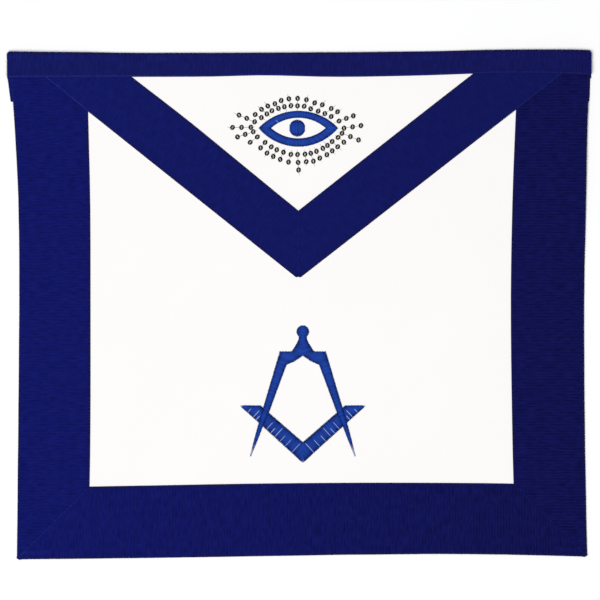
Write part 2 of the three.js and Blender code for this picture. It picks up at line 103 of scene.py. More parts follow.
# Mitres
WHOLE_WIDTH = 0.97  # a ribbon narrower than this share of its width is cut there by a mitre
NARROWEST_FLAT = 0.4  # a flat ribbon ends at a mitre where it gets narrower than this
NARROWEST_FOLDED = 1.0
MITRE_OVERLAP = {-1: 1.0, 1: 0.1}  # how far the flap's left and right ribbons reach past their meeting line
MITRE_RISE = {-1: 0.5, 1: 0.0}  # how far each is lifted there
MITRE_TONE = 0.8 * ON_RIBBON  # painted highlight of the edge that lies on top there
MITRE_REACH = 2.5  # how far back from a mitre's edge the ribbon is lifted
TIP_OVERLAP = 1.2  # how much farther the two reach at the flap's tip
TIP_REACH = 1.5  # how far along the ribbons that is so
CLEAR_OF_TIP = 8.0  # how far from a flap ribbon's two ends its slope is measured
CLEAR_OF_BAND = 12.0
OVER_BORDER_REACH = 4.0  # over how far a flap ribbon's edge turns from painted shade to painted highlight where it passes on to a border
BORDER_MITRE_OVERLAP = 0.9  # overlap and rise of the side borders, which lie over the bottom one
BORDER_MITRE_RISE = 0.5

# Sewing
THREAD_END = 0.45  # share of its radius to which a thread tapers at its ends
SEAM_INSET = 1.3  # from a ribbon's edge to the stitches that hold it
SEAM_GROOVE = 0.16
SEAM_GROOVE_WIDTH = 0.7
SEAM_PITCH = 2.9
SEAM_STITCH = 2.3
SEAM_THREAD = 0.17
SEAM_ARCH = (-0.15, 0.04, 0.08, 0.04, -0.15)  # height of a stitch's points, from its one end to the other
SEAM_UNEVEN = 0.05  # how unevenly the stitches follow each other, as a share of their pitch
SEAM_WANDER = 0.04  # how far they stray from their line
SEAM_FROM_CORNER = 2.0  # how far from a corner a row of stitches begins and ends
SLIP_INSET = 0.25  # from the edge to the closer stitches on edges that lie on other ribbons
SLIP_PITCH = 2.4
SLIP_STITCH = 2.25
SLIP_DEPTH = 0.02

# Satin stitch, in threads drawn about twice as thick as real ones so that they show
SATIN_PITCH = 0.58
SATIN_THREAD = 0.36
SATIN_REACH = 0.28  # how far the stitches reach past their padding
SATIN_OVERLAP = 0.5  # how far the stitches of two halves reach past their meeting line
FULL_STITCH = 2.0  # stitches shorter than this are finer and lower
PADDING = 1.0
SATIN_STEPS = 7
SATIN_UNEVEN = 0.1  # how unevenly the stitches end
SATIN_FLATNESS = 0.7
SATIN_DROP = 0.85  # share of its rise by which a stitch goes down at its ends
SATIN_TONES = (0.5, 0.95)
SATIN_SHADE = 0.8  # painted shade: how much darker the stitches turn where they go down at the figure's edge
FINEST_STITCH = 0.6  # least thickness, as a share of the thread's
LOWEST_STITCH = 0.45  # least rise, as a share of the padding's
SHORTEST_STITCH = 0.25
FIRST_STITCH = 0.3  # how far inside a limb its first stitch lies
LAST_STITCH = 0.2
KNOB_HEIGHT = 9.2  # of the compasses' knob, which has level stitches
LEG_BEARING = -72.0  # direction of the compasses' right leg, in degrees from +X
ARM_BEARING = 42.4  # direction of the square's right arm
EYE_CLOSENESS = 2.1  # stitches over the eye or under it, for each that would fit in half its width
DISC_REACH = 0.3  # how far the pupil's stitches reach past its outline

rng = np.random.default_rng(1717)


# Frame


def unit(vectors):
    """The vectors with length one, along the last axis."""
    length = np.linalg.norm(vectors, axis=-1, keepdims=True)
    return vectors / np.maximum(length, 1e-9)


def box(node):
    """Lowest and highest corner of a node, in millimetres."""
    low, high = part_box(node)
    return low / MM, high / MM


class CadSheet:
    """One sheet of the model: where its outline is, and how high its faces lie.

    Plan places are given along the sheet and across it, in the two directions that it is made with.
    """

    LATTICE = 3.0
    MARGIN = 6.0
    LAYERED = 2.0  # a sheet that reaches over more height than this is two layers there

    def __init__(self, node, along=(0, 1), across=(1, 0)):
        self.node = node
        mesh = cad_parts[node].data
        self.points = np.array([v.co for v in mesh.vertices]) / MM
        self.faces = [tuple(p.vertices) for p in mesh.polygons]
        edges = np.array([e.vertices for e in mesh.edges])
        self.directions = unit(np.array([along, across], float))
        local = self.points.copy()
        local[:, :2] = local[:, :2] @ self.directions.T
        self.starts, self.ends = local[edges[:, 0]], local[edges[:, 1]]
        self.reach = local[:, 0].min(), local[:, 0].max()

    def plan(self, along, across):
        """Row-frame x and y of places along and across the sheet."""
        place = np.stack(np.broadcast_arrays(along, across), axis=-1) @ self.directions
        return place[..., 0], place[..., 1]

    def cut(self, along):
        """Across and height of each edge of the model that a cut across it meets."""
        before, after = self.starts[:, 0] - along, self.ends[:, 0] - along
        met = (before < 0) != (after < 0)
        share = (before[met] / (before[met] - after[met]))[:, None]
        place = self.starts[met] * (1 - share) + self.ends[met] * share
        return place[:, 1], place[:, 2]

    def span(self, along, above=-math.inf):
        """Lowest and highest across of a cut, counting only what is above a height."""
        across, height = self.cut(along)
        across = across[height > above]
        return across.min(), across.max()

    def spans(self, stations, above=-math.inf):
        """The lowest across of each cut, and the highest."""
        return np.array([self.span(s, above) for s in stations]).T

    def heights(self):
        """Height maps of the sheet's upper and lower face, and of the upper face where it is two layers.

        The lower one is then that of the two layers too, and without them the third is None.
        """
        tree = BVHTree.FromPolygons([Vector(p) for p in self.points], self.faces)
        low, high = self.points.min(0) - self.MARGIN, self.points.max(0) + self.MARGIN
        xs = np.arange(low[0], high[0] + self.LATTICE, self.LATTICE)
        ys = np.arange(low[1], high[1] + self.LATTICE, self.LATTICE)
        upper, lower = np.full((2, len(xs), len(ys)), np.nan)
        down, up = Vector((0, 0, -1)), Vector((0, 0, 1))
        for i, x in enumerate(xs):
            for j, y in enumerate(ys):
                hit = tree.ray_cast(Vector((x, y, high[2])), down)[0]
                if hit is not None:
                    upper[i, j] = hit.z
                    lower[i, j] = tree.ray_cast(Vector((x, y, low[2])), up)[0].z
        layered = upper - lower > self.LAYERED
        if layered.any():
            folded_upper, folded_lower = np.where(layered, upper, np.nan), np.where(layered, lower, np.nan)
            return HeightMap(xs, ys, upper), HeightMap(xs, ys, folded_lower), HeightMap(xs, ys, folded_upper)
        return HeightMap(xs, ys, upper), HeightMap(xs, ys, lower), None


class HeightMap:
    """Smooth height over the plan, from heights on a lattice that may have unknown places."""

    BLURS = 3

    def __init__(self, xs, ys, heights):
        self.x0, self.y0 = xs[0], ys[0]
        self.step = xs[1] - xs[0]
        self.grid = self.filled(heights)
        for _ in range(self.BLURS):
            for axis in (0, 1):
                self.grid = self.blurred(self.grid, axis)

    @staticmethod
    def filled(heights):
        """Spreads the known heights over the unknown places round them."""
        while np.isnan(heights).any():
            padded = np.pad(heights, 1, constant_values=np.nan)
            rows, columns = heights.shape
            near = np.stack([padded[i:i + rows, j:j + columns] for i in range(3) for j in range(3)])
            known = ~np.isnan(near)
            count = known.sum(0)
            mean = np.where(known, near, 0).sum(0) / np.maximum(count, 1)
            heights = np.where(np.isnan(heights) & (count > 0), mean, heights)
        return heights

    @staticmethod
    def blurred(grid, axis):
        """Each height drawn towards its two neighbours along an axis."""
        padded = np.pad(grid, [(1, 1) if a == axis else (0, 0) for a in (0, 1)], mode="edge")
        before, middle, after = (np.take(padded, range(i, i + grid.shape[axis]), axis) for i in range(3))
        return (before + 2 * middle + after) / 4

    def at(self, x, y):
        """Heights at plan places."""
        u = np.clip((np.asarray(x) - self.x0) / self.step, 0, self.grid.shape[0] - 1.001)
        v = np.clip((np.asarray(y) - self.y0) / self.step, 0, self.grid.shape[1] - 1.001)
        i, j = u.astype(int), v.astype(int)
        u, v = u - i, v - j
        low = self.grid[i, j] * (1 - u) + self.grid[i + 1, j] * u
        high = self.grid[i, j + 1] * (1 - u) + self.grid[i + 1, j + 1] * u
        return low * (1 - v) + high * v


# Meshes


def volume(points, faces):
    """Signed volume of a closed mesh of four-sided faces."""
    a, b, c, d = (points[faces[:, i]] for i in range(4))
    return ((a * np.cross(b, c)).sum() + (a * np.cross(c, d)).sum()) / 6


def make_object(name, points, faces, material, lay=None, tone=None):
    """A smooth mesh object in metres.

    lay is each point's place on the flat cloth, and tone how light or dull its thread is, with any painted
    shade and highlight.
    """
    mesh = bpy.data.meshes.new(name)
    mesh.from_pydata(points * MM, [], faces)
    mesh.polygons.foreach_set("use_smooth", [True] * len(mesh.polygons))
    if lay is not None:
        flat = mesh.attributes.new("lay", "FLOAT_VECTOR", "POINT")
        flat.data.foreach_set("vector", (lay * MM).ravel().astype(np.float32))
    if tone is not None:
        mesh.attributes.new("tone", "FLOAT", "POINT").data.foreach_set("value", tone.astype(np.float32))
    mesh.materials.append(material)
    mesh.validate()
    made = bpy.data.objects.new(name, mesh)
    bpy.context.scene.collection.objects.link(made)
    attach(made, "root")
    return made


def cloth(name, middle, lay, thickness, relief, material, tone=None):
    """Closed sheet of cloth round a net of points down its middle, with a rounded edge.

    relief is added to the face that looks away from the folds, which is the upper one at the net's start.
    """
    rows, columns = middle.shape[:2]
    normal = unit(np.cross(np.gradient(middle, axis=1), np.gradient(middle, axis=0)))
    if normal[:, 0, 2].mean() < 0:
        normal = -normal
    half = thickness / 2
    outer = middle + normal * (half + relief)[..., None]
    inner = middle - normal * half

    index = np.arange(rows * columns).reshape(rows, columns)
    ring = np.concatenate([index[0, :-1], index[:-1, -1], index[-1, :0:-1], index[:0:-1, 0]])
    row, column = np.divmod(ring, columns)
    flat_middle, flat_normal = middle.reshape(-1, 3), normal.reshape(-1, 3)
    tangent = np.roll(flat_middle[ring], -1, axis=0) - np.roll(flat_middle[ring], 1, axis=0)
    outward = unit(np.cross(tangent, flat_normal[ring]))
    inwards = index[np.clip(row, 1, rows - 2), np.clip(column, 1, columns - 2)]
    if (outward * (flat_middle[ring] - flat_middle[inwards])).sum() < 0:
        outward = -outward
    rims = []
    for angle in (45, 90, 135):
        turn = math.radians(angle)
        depth = half + (relief.ravel()[ring] if angle < 90 else 0)
        rims.append(
            flat_middle[ring]
            + flat_normal[ring] * np.broadcast_to(depth * math.cos(turn), ring.shape)[:, None]
            + outward * EDGE_ROLL * math.sin(turn)
        )

    points = np.concatenate([outer.reshape(-1, 3), inner.reshape(-1, 3), *rims])
    quads = np.stack([index[:-1, :-1], index[:-1, 1:], index[1:, 1:], index[1:, :-1]], -1).reshape(-1, 4)
    count = rows * columns
    rings = [ring, *(2 * count + i * len(ring) + np.arange(len(ring)) for i in range(3)), ring + count]
    edge = [
        np.stack([a, np.roll(a, -1), np.roll(b, -1), b], -1)[:, ::-1]
        for a, b in zip(rings, rings[1:])
    ]
    faces = np.concatenate([quads, (quads + count)[:, ::-1], *edge])
    if volume(points, faces) < 0:
        faces = faces[:, ::-1]

    def on_all_points(values):
        return np.concatenate([values, values, *[values[ring]] * 3])

    if tone is not None:
        tone = on_all_points(tone.ravel())
    lay = on_all_points(lay.reshape(-1, 3))
    return make_object(name, points, faces.tolist(), material, lay=lay, tone=tone)


def threads(paths, radius, sides, flatness):
    """Tubes with tapered ends along paths of equally many points, as points and faces."""
    paths = np.asarray(paths, float)
    count, steps = paths.shape[:2]
    forward = unit(np.gradient(paths, axis=1))
    aside = unit(np.cross(forward, np.array([0, 0, 1.0])))
    upward = np.cross(aside, forward)
    taper = np.ones(steps)
    taper[[0, -1]] = THREAD_END
    wide = np.broadcast_to(np.asarray(radius, float).reshape(-1, 1), (count, steps)) * taper
    rings = []
    for k in range(sides):
        angle = 2 * math.pi * (k + 0.5) / sides
        rings.append(
            paths
            + aside * (wide * math.cos(angle))[..., None]
            + upward * (wide * math.sin(angle) * flatness)[..., None]
        )
    points = np.stack(rings, axis=2).reshape(-1, 3)
    index = np.arange(len(points)).reshape(count, steps, sides)
    around = np.roll(index, -1, axis=2)
    walls = np.stack([index[:, :-1], around[:, :-1], around[:, 1:], index[:, 1:]], -1).reshape(-1, 4)
    caps = [list(reversed(i)) for i in index[:, 0].tolist()] + index[:, -1].tolist()
    return points, walls.tolist() + caps


def thread_work(name, paths, radius, material, light=(0, 1), sides=6, flatness=1.0, shade=0.0):
    """All threads of one piece of needlework as one object, each a little lighter or darker than the next.

    light is the least and most tone of a thread, and shade is painted shade added along it.
    """
    points, faces = threads(paths, radius, sides, flatness)
    tone = rng.uniform(*light, size=len(paths))[:, None] + np.zeros(len(paths[0])) + shade
    tone = np.repeat(tone.ravel(), sides)
    return make_object(name, points, faces, material, tone=tone)


# Materials


def linear(hex_colour):
    """Linear RGBA from an sRGB hex colour."""
    channels = [int(hex_colour[i:i + 2], 16) / 255 for i in (1, 3, 5)]
    return (*(c / 12.92 if c <= 0.04045 else ((c + 0.055) / 1.055) ** 2.4 for c in channels), 1)


def new_material(name):
    """A material with no nodes yet."""
    material = bpy.data.materials.new(name)
    material.use_nodes = True
    material.node_tree.nodes.clear()
    return material


def add(material, kind, inputs=None, **settings):
    """Adds a node with its settings. An input takes a value or the output of another node."""
    made = material.node_tree.nodes.new("ShaderNode" + kind)
    for name, value in settings.items():
        setattr(made, name, value)
    for key, value in (inputs or {}).items():
        if isinstance(value, bpy.types.NodeSocket):
            material.node_tree.links.new(value, made.inputs[key])
        else:
            made.inputs[key].default_value = value
    return made


def finish_material(material, shader):
    """The material with a shader as its surface."""
    add(material, "OutputMaterial", {"Surface": shader.outputs["BSDF"]})
    return material


def blend_colours(material, share, first, second):
    """Colour between two, by a share that comes from a node. A colour is sRGB hex or comes from a node."""
    first, second = (linear(c) if isinstance(c, str) else c for c in (first, second))
    mixed = add(material, "Mix", {0: share, 6: first, 7: second}, data_type="RGBA", clamp_factor=True)
    return mixed.outputs[2]


def per_metre(size_mm):
    """Texture scale that gives features of about that size."""
    return 1 / (size_mm * MM)


def dressed_leather():
    """Chrome-tanned sheepskin, dressed white: nearly matt, with a fine even grain."""
    material = new_material("dressed_white_leather")
    place = add(material, "TexCoord").outputs["Object"]
    patches = add(material, "TexNoise", {"Vector": place, "Scale": per_metre(70), "Detail": 2.0})
    pebbles = add(
        material, "TexVoronoi", {"Vector": place, "Scale": per_metre(1.4), "Randomness": 0.9},
        feature="SMOOTH_F1",
    )
    pores = add(material, "TexNoise", {"Vector": place, "Scale": per_metre(0.7), "Detail": 3.0})
    grain = add(
        material, "Mix", {0: 0.35, 2: pebbles.outputs["Distance"], 3: pores.outputs["Fac"]},
        data_type="FLOAT",
    )
    bump = add(
        material, "Bump", {"Strength": 0.35, "Distance": 0.08 * MM, "Height": grain.outputs[0]},
    )
    gloss = add(
        material, "MapRange", {"Value": pores.outputs["Fac"], "To Min": 0.5, "To Max": 0.68},
    )
    shader = add(material, "BsdfPrincipled", {
        "Base Color": blend_colours(material, patches.outputs["Fac"], WHITE_SHADE, WHITE_LIGHT),
        "Roughness": gloss.outputs["Result"],
        "Specular IOR Level": 0.3,
        "Normal": bump.outputs["Normal"],
    })
    return finish_material(material, shader)


def woven_grosgrain(name, left, right):
    """Grosgrain ribbon: thick cords across it under fine warp threads, dark and nearly matt.

    It is painted a little paler on the apron's left, where more light falls. The tone of its mesh paints
    shade on its edges, folds and cord valleys, and highlights along edges on other ribbons and beside folds.
    left and right are its darkest and lightest colours on the two sides of the apron.
    """
    material = new_material(name)
    flat = add(material, "Attribute", attribute_name="lay").outputs["Vector"]
    # Along the ribbon the tone changes from cord to cord, and across it slowly
    cord_lines = add(material, "Mapping", {
        "Vector": flat,
        "Scale": (per_metre(0.55 * CORD_PITCH), per_metre(7), 1),
    })
    streaks = add(material, "TexNoise", {"Vector": cord_lines.outputs["Vector"], "Scale": 1.0, "Detail": 3.0})
    patches = add(material, "TexNoise", {"Vector": flat, "Scale": per_metre(6), "Detail": 3.0})
    uneven = add(
        material, "Mix", {0: 0.3, 2: streaks.outputs["Fac"], 3: patches.outputs["Fac"]},
        data_type="FLOAT",
    )
    spread = add(
        material, "MapRange",
        {"Value": uneven.outputs[0], "From Min": 0.38, "From Max": 0.62},
    )
    place = add(material, "SeparateXYZ", {0: add(material, "TexCoord").outputs["Object"]})
    # Painted light: paler towards the apron's left, where more light falls
    to_right = add(
        material, "MapRange",
        {"Value": place.outputs["X"], "From Min": PAINTED_LIGHT_FROM * MM, "From Max": PAINTED_LIGHT_TO * MM},
    )
    left_side = blend_colours(material, spread.outputs["Result"], *left)
    right_side = blend_colours(material, spread.outputs["Result"], *right)
    colour = blend_colours(material, to_right.outputs["Result"], left_side, right_side)
    # Painted shade and highlights from the tone: darker at edges, folds and cord valleys, lighter along edges
    # on other ribbons and beside folds
    tone = add(material, "Attribute", attribute_name="tone").outputs["Fac"]
    darkened = add(material, "MapRange", {"Value": tone, "From Min": 0.0, "From Max": -1.0})
    colour = blend_colours(material, darkened.outputs["Result"], colour, NAVY_PAINTED_SHADE)
    colour = blend_colours(material, tone, colour, NAVY_PAINTED_HIGHLIGHT)
    # The warp threads are about 0.25 mm apart, and are drawn at 0.6 mm
    warp = add(material, "Mapping", {
        "Vector": flat,
        "Scale": (per_metre(CORD_PITCH), per_metre(0.6), 1),
    })
    fibres = add(material, "TexNoise", {"Vector": warp.outputs["Vector"], "Scale": 1.0, "Detail": 2.0})
    bump = add(
        material, "Bump", {"Strength": 0.5, "Distance": 0.07 * MM, "Height": fibres.outputs["Fac"]},
    )
    shader = add(material, "BsdfPrincipled", {
        "Base Color": colour,
        "Roughness": 0.8,
        "Specular IOR Level": 0.03,
        "Sheen Weight": 0.02,
        "Sheen Roughness": 0.4,
        "Sheen Tint": linear("#5a62b8"),
        "Normal": bump.outputs["Normal"],
    })
    return finish_material(material, shader)


def spun_thread(name, dark, light, roughness, specular, twist):
    """Spun or filament thread: each strand has its own tone, and fine fibres that catch the light."""
    material = new_material(name)
    place = add(material, "TexCoord").outputs["Object"]
    strand = add(material, "Attribute", attribute_name="tone").outputs["Fac"]
    fibres = add(material, "TexNoise", {"Vector": place, "Scale": per_metre(twist), "Detail": 2.0})
    bump = add(
        material, "Bump", {"Strength": 0.4, "Distance": 0.05 * MM, "Height": fibres.outputs["Fac"]},
    )
    shader = add(material, "BsdfPrincipled", {
        "Base Color": blend_colours(material, strand, dark, light),
        "Roughness": roughness,
        "Specular IOR Level": specular,
        "Normal": bump.outputs["Normal"],
    })
    return finish_material(material, shader)


def plated_sequin():
    """Stamped plastic sequin, metallised dark: a smooth dark mirror with small dents."""
    material = new_material("metallised_dark_sequin")
    place = add(material, "TexCoord").outputs["Object"]
    dents = add(material, "TexNoise", {"Vector": place, "Scale": per_metre(1.2), "Detail": 1.0})
    bump = add(
        material, "Bump", {"Strength": 0.6, "Distance": 0.1 * MM, "Height": dents.outputs["Fac"]},
    )
    shader = add(material, "BsdfPrincipled", {
        "Base Color": blend_colours(material, dents.outputs["Fac"], "#100f0a", "#2a2819"),
        "Metallic": 1.0,
        "Roughness": 0.3,
        "Normal": bump.outputs["Normal"],
    })
    return finish_material(material, shader)


def paper_floor():
    """Matt white paper: the least possible mottling, so that it stays plain."""
    material = new_material("matt_white_paper")
    place = add(material, "TexCoord").outputs["Object"]
    mottle = add(material, "TexNoise", {"Vector": place, "Scale": per_metre(120), "Detail": 1.0})
    shader = add(material, "BsdfPrincipled", {
        "Base Color": blend_colours(material, mottle.outputs["Fac"], "#fcfcfc", "#fefefe"),
        "Roughness": 0.9,
        "Specular IOR Level": 0.1,
    })
    return finish_material(material, shader)


WHITE_SHADE, WHITE_LIGHT = "#f4f2f0", "#f7f5f3"
# Painted shade: the colour towards which a ribbon darkens at its edges, folds and cord valleys
NAVY_PAINTED_SHADE = "#1a1b47"
# Painted highlight: the colour towards which a ribbon lightens along edges on other ribbons and beside its
# folds
NAVY_PAINTED_HIGHLIGHT = "#1f2672"
PAINTED_LIGHT_FROM = -170.0  # painted light: from here to the next place the ribbons turn from their paler left colours, where more light falls, to the right ones
PAINTED_LIGHT_TO = 190.0

leather = dressed_leather()
# Painted light: each ribbon's left colours are paler than its right ones, as more light falls on the apron's
# left
border_grosgrain = woven_grosgrain("woven_border_grosgrain", ("#090f5a", "#10186b"), ("#07083f", "#101254"))
flap_grosgrain = woven_grosgrain("woven_flap_grosgrain", ("#0e145b", "#121a69"), ("#0c1151", "#10165c"))
band_grosgrain = woven_grosgrain("woven_waistband_grosgrain", ("#0f1456", "#151c66"), ("#0f114d", "#14175d"))
rayon = spun_thread("royal_rayon_thread", "#071750", "#1445ae", 0.5, 0.12, 0.5)
tick_thread = spun_thread("pale_blue_thread", "#8fa4e4", "#c2d0f8", 0.5, 0.2, 0.5)
ray_thread = spun_thread("grey_cotton_thread", "#77756a", "#a3a096", 0.6, 0.2, 0.8)
holding_thread = spun_thread("pale_cotton_thread", "#8c897b", "#b9b6a9", 0.6, 0.2, 0.8)
seam_thread = spun_thread("navy_sewing_thread", "#0f113c", "#1a1c4c", 0.7, 0.05, 0.4)
slip_thread = spun_thread("navy_silk_thread", "#181d58", "#363e8a", 0.5, 0.1, 0.4)
sequin_metal = plated_sequin()


# Ribbons and leather


def waviness(x, y, scale):
    """Slow unevenness between -1 and 1, the same at a place for every piece."""
    a = np.sin(x / scale + 1.3 * np.sin(y / (1.7 * scale) + 0.6))
    b = np.sin(y / (0.8 * scale) + 1.1 * np.sin(x / (1.3 * scale) + 2.1))
    return (a + b) / 2


def cords(along):
    """Relief of the cords that lie across a ribbon, at distances along it: round backs with sharp valleys."""
    return CORD_DEPTH * (np.abs(np.cos(math.pi * along / CORD_PITCH)) - 1)


def valley_tone(along, shade):
    """Painted shade in the valleys between the cords."""
    return -shade * (1 - np.abs(np.cos(math.pi * along / CORD_PITCH)) ** 0.7)


def falling_off(distance, reach):
    """A share that is 1 at no distance and falls off smoothly over a reach."""
    return np.exp(-((distance / reach) ** 2))


def groove(distance):
    """Relief where a row of stitches pulls a sheet down, at distances from the stitches."""
    return -SEAM_GROOVE * falling_off(distance, SEAM_GROOVE_WIDTH)


def whole_share(width, full):
    """A share that is 1 where a ribbon has its full width, and 0 where a mitre has cut off a tenth of it."""
    return np.clip((width / full - 0.9) / 0.1, 0, 1)


def cord_stations(low, high):
    """Places along a ribbon between two ends, in step with its cords."""
    step = CORD_PITCH / STEPS_PER_CORD
    first, last = math.ceil((low + EDGE_ROLL) / step), math.floor((high - EDGE_ROLL) / step)
    return step * np.arange(first, last + 1)


def across_shares(width, count):
    """Places of the mesh's lines across a flat ribbon, as shares of its width."""
    edge = np.array(FLAT_EDGE_LINES) / width
    middle = np.linspace(edge[-1], 1 - edge[-1], count)[1:-1]
    return np.concatenate([edge, middle, 1 - edge[::-1]])


def worn_corner(stations, radius):
    """How far a folded edge draws back near the ends of its ribbon, which are worn round."""
    from_end = np.minimum(stations - stations[0], stations[-1] - stations)
    inside = np.clip(radius - from_end, 0, radius)
    return radius - np.sqrt(radius**2 - inside**2)


def painted_light_share(x):
    """Share of painted light that a place has: the apron's left, where more light falls, has the most."""
    return 1 - PAINTED_LIGHT_FALL * np.clip(x / APRON_WIDTH + 0.5, 0, 1)


def ribbon_tone(x, y, from_edge, edge_shade, from_fold=None, fold_shade=FOLDED):
    """How much painted shade (down to -1) or painted highlight (up to 1) the places of a ribbon have.

    The shades are what its cut edge and its fold are. Beside a fold runs a strip of painted highlight.
    """
    edge_shade = np.where(edge_shade > 0, edge_shade * painted_light_share(x), edge_shade)
    reach = np.where(edge_shade > 0, EDGE_LIGHTENED, EDGE_DARKENED)
    tone = edge_shade * falling_off(from_edge, reach)
    if from_fold is None:
        return tone
    fold_highlight = FOLD_HIGHLIGHT * painted_light_share(x) * falling_off(from_fold - FOLD_HIGHLIGHT_AT, FOLD_HIGHLIGHT_WIDTH)
    fold_highlight = fold_highlight * (0.5 + 0.5 * waviness(x, y, 6))
    past_fold = np.maximum(from_fold - RIBBON / 2, 0)
    return tone + fold_highlight + fold_shade * falling_off(past_fold, EDGE_DARKENED)


def folded_section(top_width, under_width, full):
    """Section of a folded ribbon at each station: how far its points are from the fold, and their height.

    The height is a share, 1 on the upper leg and 0 on the leg turned under.
    """
    depth = np.minimum(FOLD_DEPTH, 0.35 * np.minimum(top_width, under_width))[:, None]
    half = np.minimum(RIBBON / 2, 0.4 * depth)
    edge = np.array(FOLDED_EDGE_LINES)
    edge = edge[edge < 0.4 * full] / full
    shares = np.concatenate([edge, np.linspace(edge[-1], 1, 7)[1:]])
    leg = top_width[:, None] - (EDGE_ROLL - EDGE_OUT) - depth
    from_fold = [depth + leg * (1 - shares)]
    rise = [np.ones_like(from_fold[0])]
    turns = np.radians(np.linspace(90, -90, 11))[1:-1][None]
    power = 2 / FOLD_SQUARENESS
    from_fold.append(half + (depth - half) * (1 - np.cos(turns) ** power))
    height = (1 + np.sign(np.sin(turns)) * np.abs(np.sin(turns)) ** power) / 2
    rise.append(np.broadcast_to(height, from_fold[-1].shape))
    under = under_width[:, None] - EDGE_ROLL - depth
    from_fold.append(depth + under * np.linspace(0, 1, 5)[None])
    rise.append(np.zeros_like(from_fold[-1]))
    return np.concatenate(from_fold, 1), np.concatenate(rise, 1)


def folded_ribbon(
    name, node, sheet, stations, fold, top_width, under_width, material, grooves=True, over=0.0
):
    """Ribbon folded along one edge.

    At each station fold is the across of its folded edge, and the two legs run from there. Its cut edge
    has painted shade along the leather and a painted highlight on other ribbons. over is how far its mitre is
    lifted.
    """
    top_map, under_map, folded_top = sheet.heights()
    back_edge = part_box("waistband")[0].y / MM
    full = np.median(top_width)
    worn = worn_corner(stations, WORN_BORDER if grooves else WORN_BAND)
    fold = fold + worn
    top = (top_width - worn)[:, None]
    from_fold, rise = folded_section(top_width - worn, under_width, full)
    along = np.broadcast_to(stations[:, None], from_fold.shape)
    x, y = sheet.plan(along, fold[:, None] + from_fold)
    upper = (folded_top if node == "waistband" else top_map).at(x, y)
    lower = under_map.at(x, y)
    on_top = rise > 0.99
    mitred = (top < WHOLE_WIDTH * full) & (over > 0)
    lift = over * mitred * on_top * falling_off(top - from_fold, MITRE_REACH)
    z = lower + RIBBON / 2 + (upper - lower - RIBBON) * rise + lift
    middle = np.stack([x, y, z], -1)

    whole = whole_share(top, full)
    smoothed = np.clip(from_fold / FOLD_DEPTH, 0.2, 1)
    relief = cords(along) * smoothed + RIPPLE * waviness(x, y, 9)
    if grooves:
        relief = relief + groove(top - from_fold - SEAM_INSET) * whole * on_top
    lay = np.stack([along, from_fold * np.where(rise < 0.5, -1, 1), np.zeros_like(x)], -1)
    edge_shade = np.where(mitred | (not grooves), ON_RIBBON, ON_LEATHER * whole)
    # Painted highlight on the left border's fold where it lies on the waistband's back leg
    under_band = (y > back_edge) & (node == "border_left")
    fold_shade = np.where(under_band, ON_RIBBON, FOLDED)
    tone = ribbon_tone(x, y, top - from_fold, edge_shade, from_fold, fold_shade)
    tone = (tone + valley_tone(along, VALLEY_TONE if grooves else BAND_VALLEY_TONE)) * (rise > 0.5)
    made = cloth(name, middle, lay, RIBBON, relief, material, tone)
    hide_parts(node)
    return made


def lay_border(name, node, along, inward):
    """Border ribbon whose folded edge is the body's edge. inward points from there to the panel."""
    sheet = CadSheet(node, along, inward)
    low, high = sheet.reach
    stations = cord_stations(low, high - (SHORT_OF_FOLD if along == (0, 1) else 0))
    fold, free = sheet.spans(stations)
    wide = free - fold
    over = BORDER_MITRE_RISE if along == (0, 1) else 0.0
    if over:
        wide = wide + BORDER_MITRE_OVERLAP * (wide < WHOLE_WIDTH * np.median(wide))
    keep = wide > NARROWEST_FOLDED
    stations, fold, wide = stations[keep], fold[keep], wide[keep]
    under = np.minimum(TURN_UNDER, wide)
    return folded_ribbon(name, node, sheet, stations, fold, wide, under, border_grosgrain, over=over)


def lay_waistband():
    """One ribbon folded over the top edge: a narrow front leg and a wide back leg."""
    node = "waistband"
    sheet = CadSheet(node, (1, 0), (0, -1))
    low, high = sheet.reach
    stations = cord_stations(low + BAND_INSET, high - BAND_INSET)
    fold, back = sheet.spans(stations)
    _, front = sheet.spans(stations, above=BETWEEN_LEGS)
    return folded_ribbon(
        "waistband_ribbon", node, sheet, stations, fold, front + SELVEDGE - fold, back - fold, band_grosgrain,
        grooves=False,
    )


def flap_ribbon_sheet(node, side):
    """One slanting ribbon of the flap: along it from the tip, and across it from its outer edge.

    Its slope is measured clear of its two cut ends.
    """
    low, high = box(node)
    upright = CadSheet(node, (1, 0), (0, 1))
    inner_x, outer_x = (high.x, low.x) if side < 0 else (low.x, high.x)
    near, far = inner_x + side * CLEAR_OF_TIP, outer_x - side * CLEAR_OF_BAND
    slope = (upright.span(far)[0] - upright.span(near)[0]) / (far - near)
    along = (side, side * slope)
    inward = (-along[1] * side, along[0] * side)
    return CadSheet(node, along, inward)


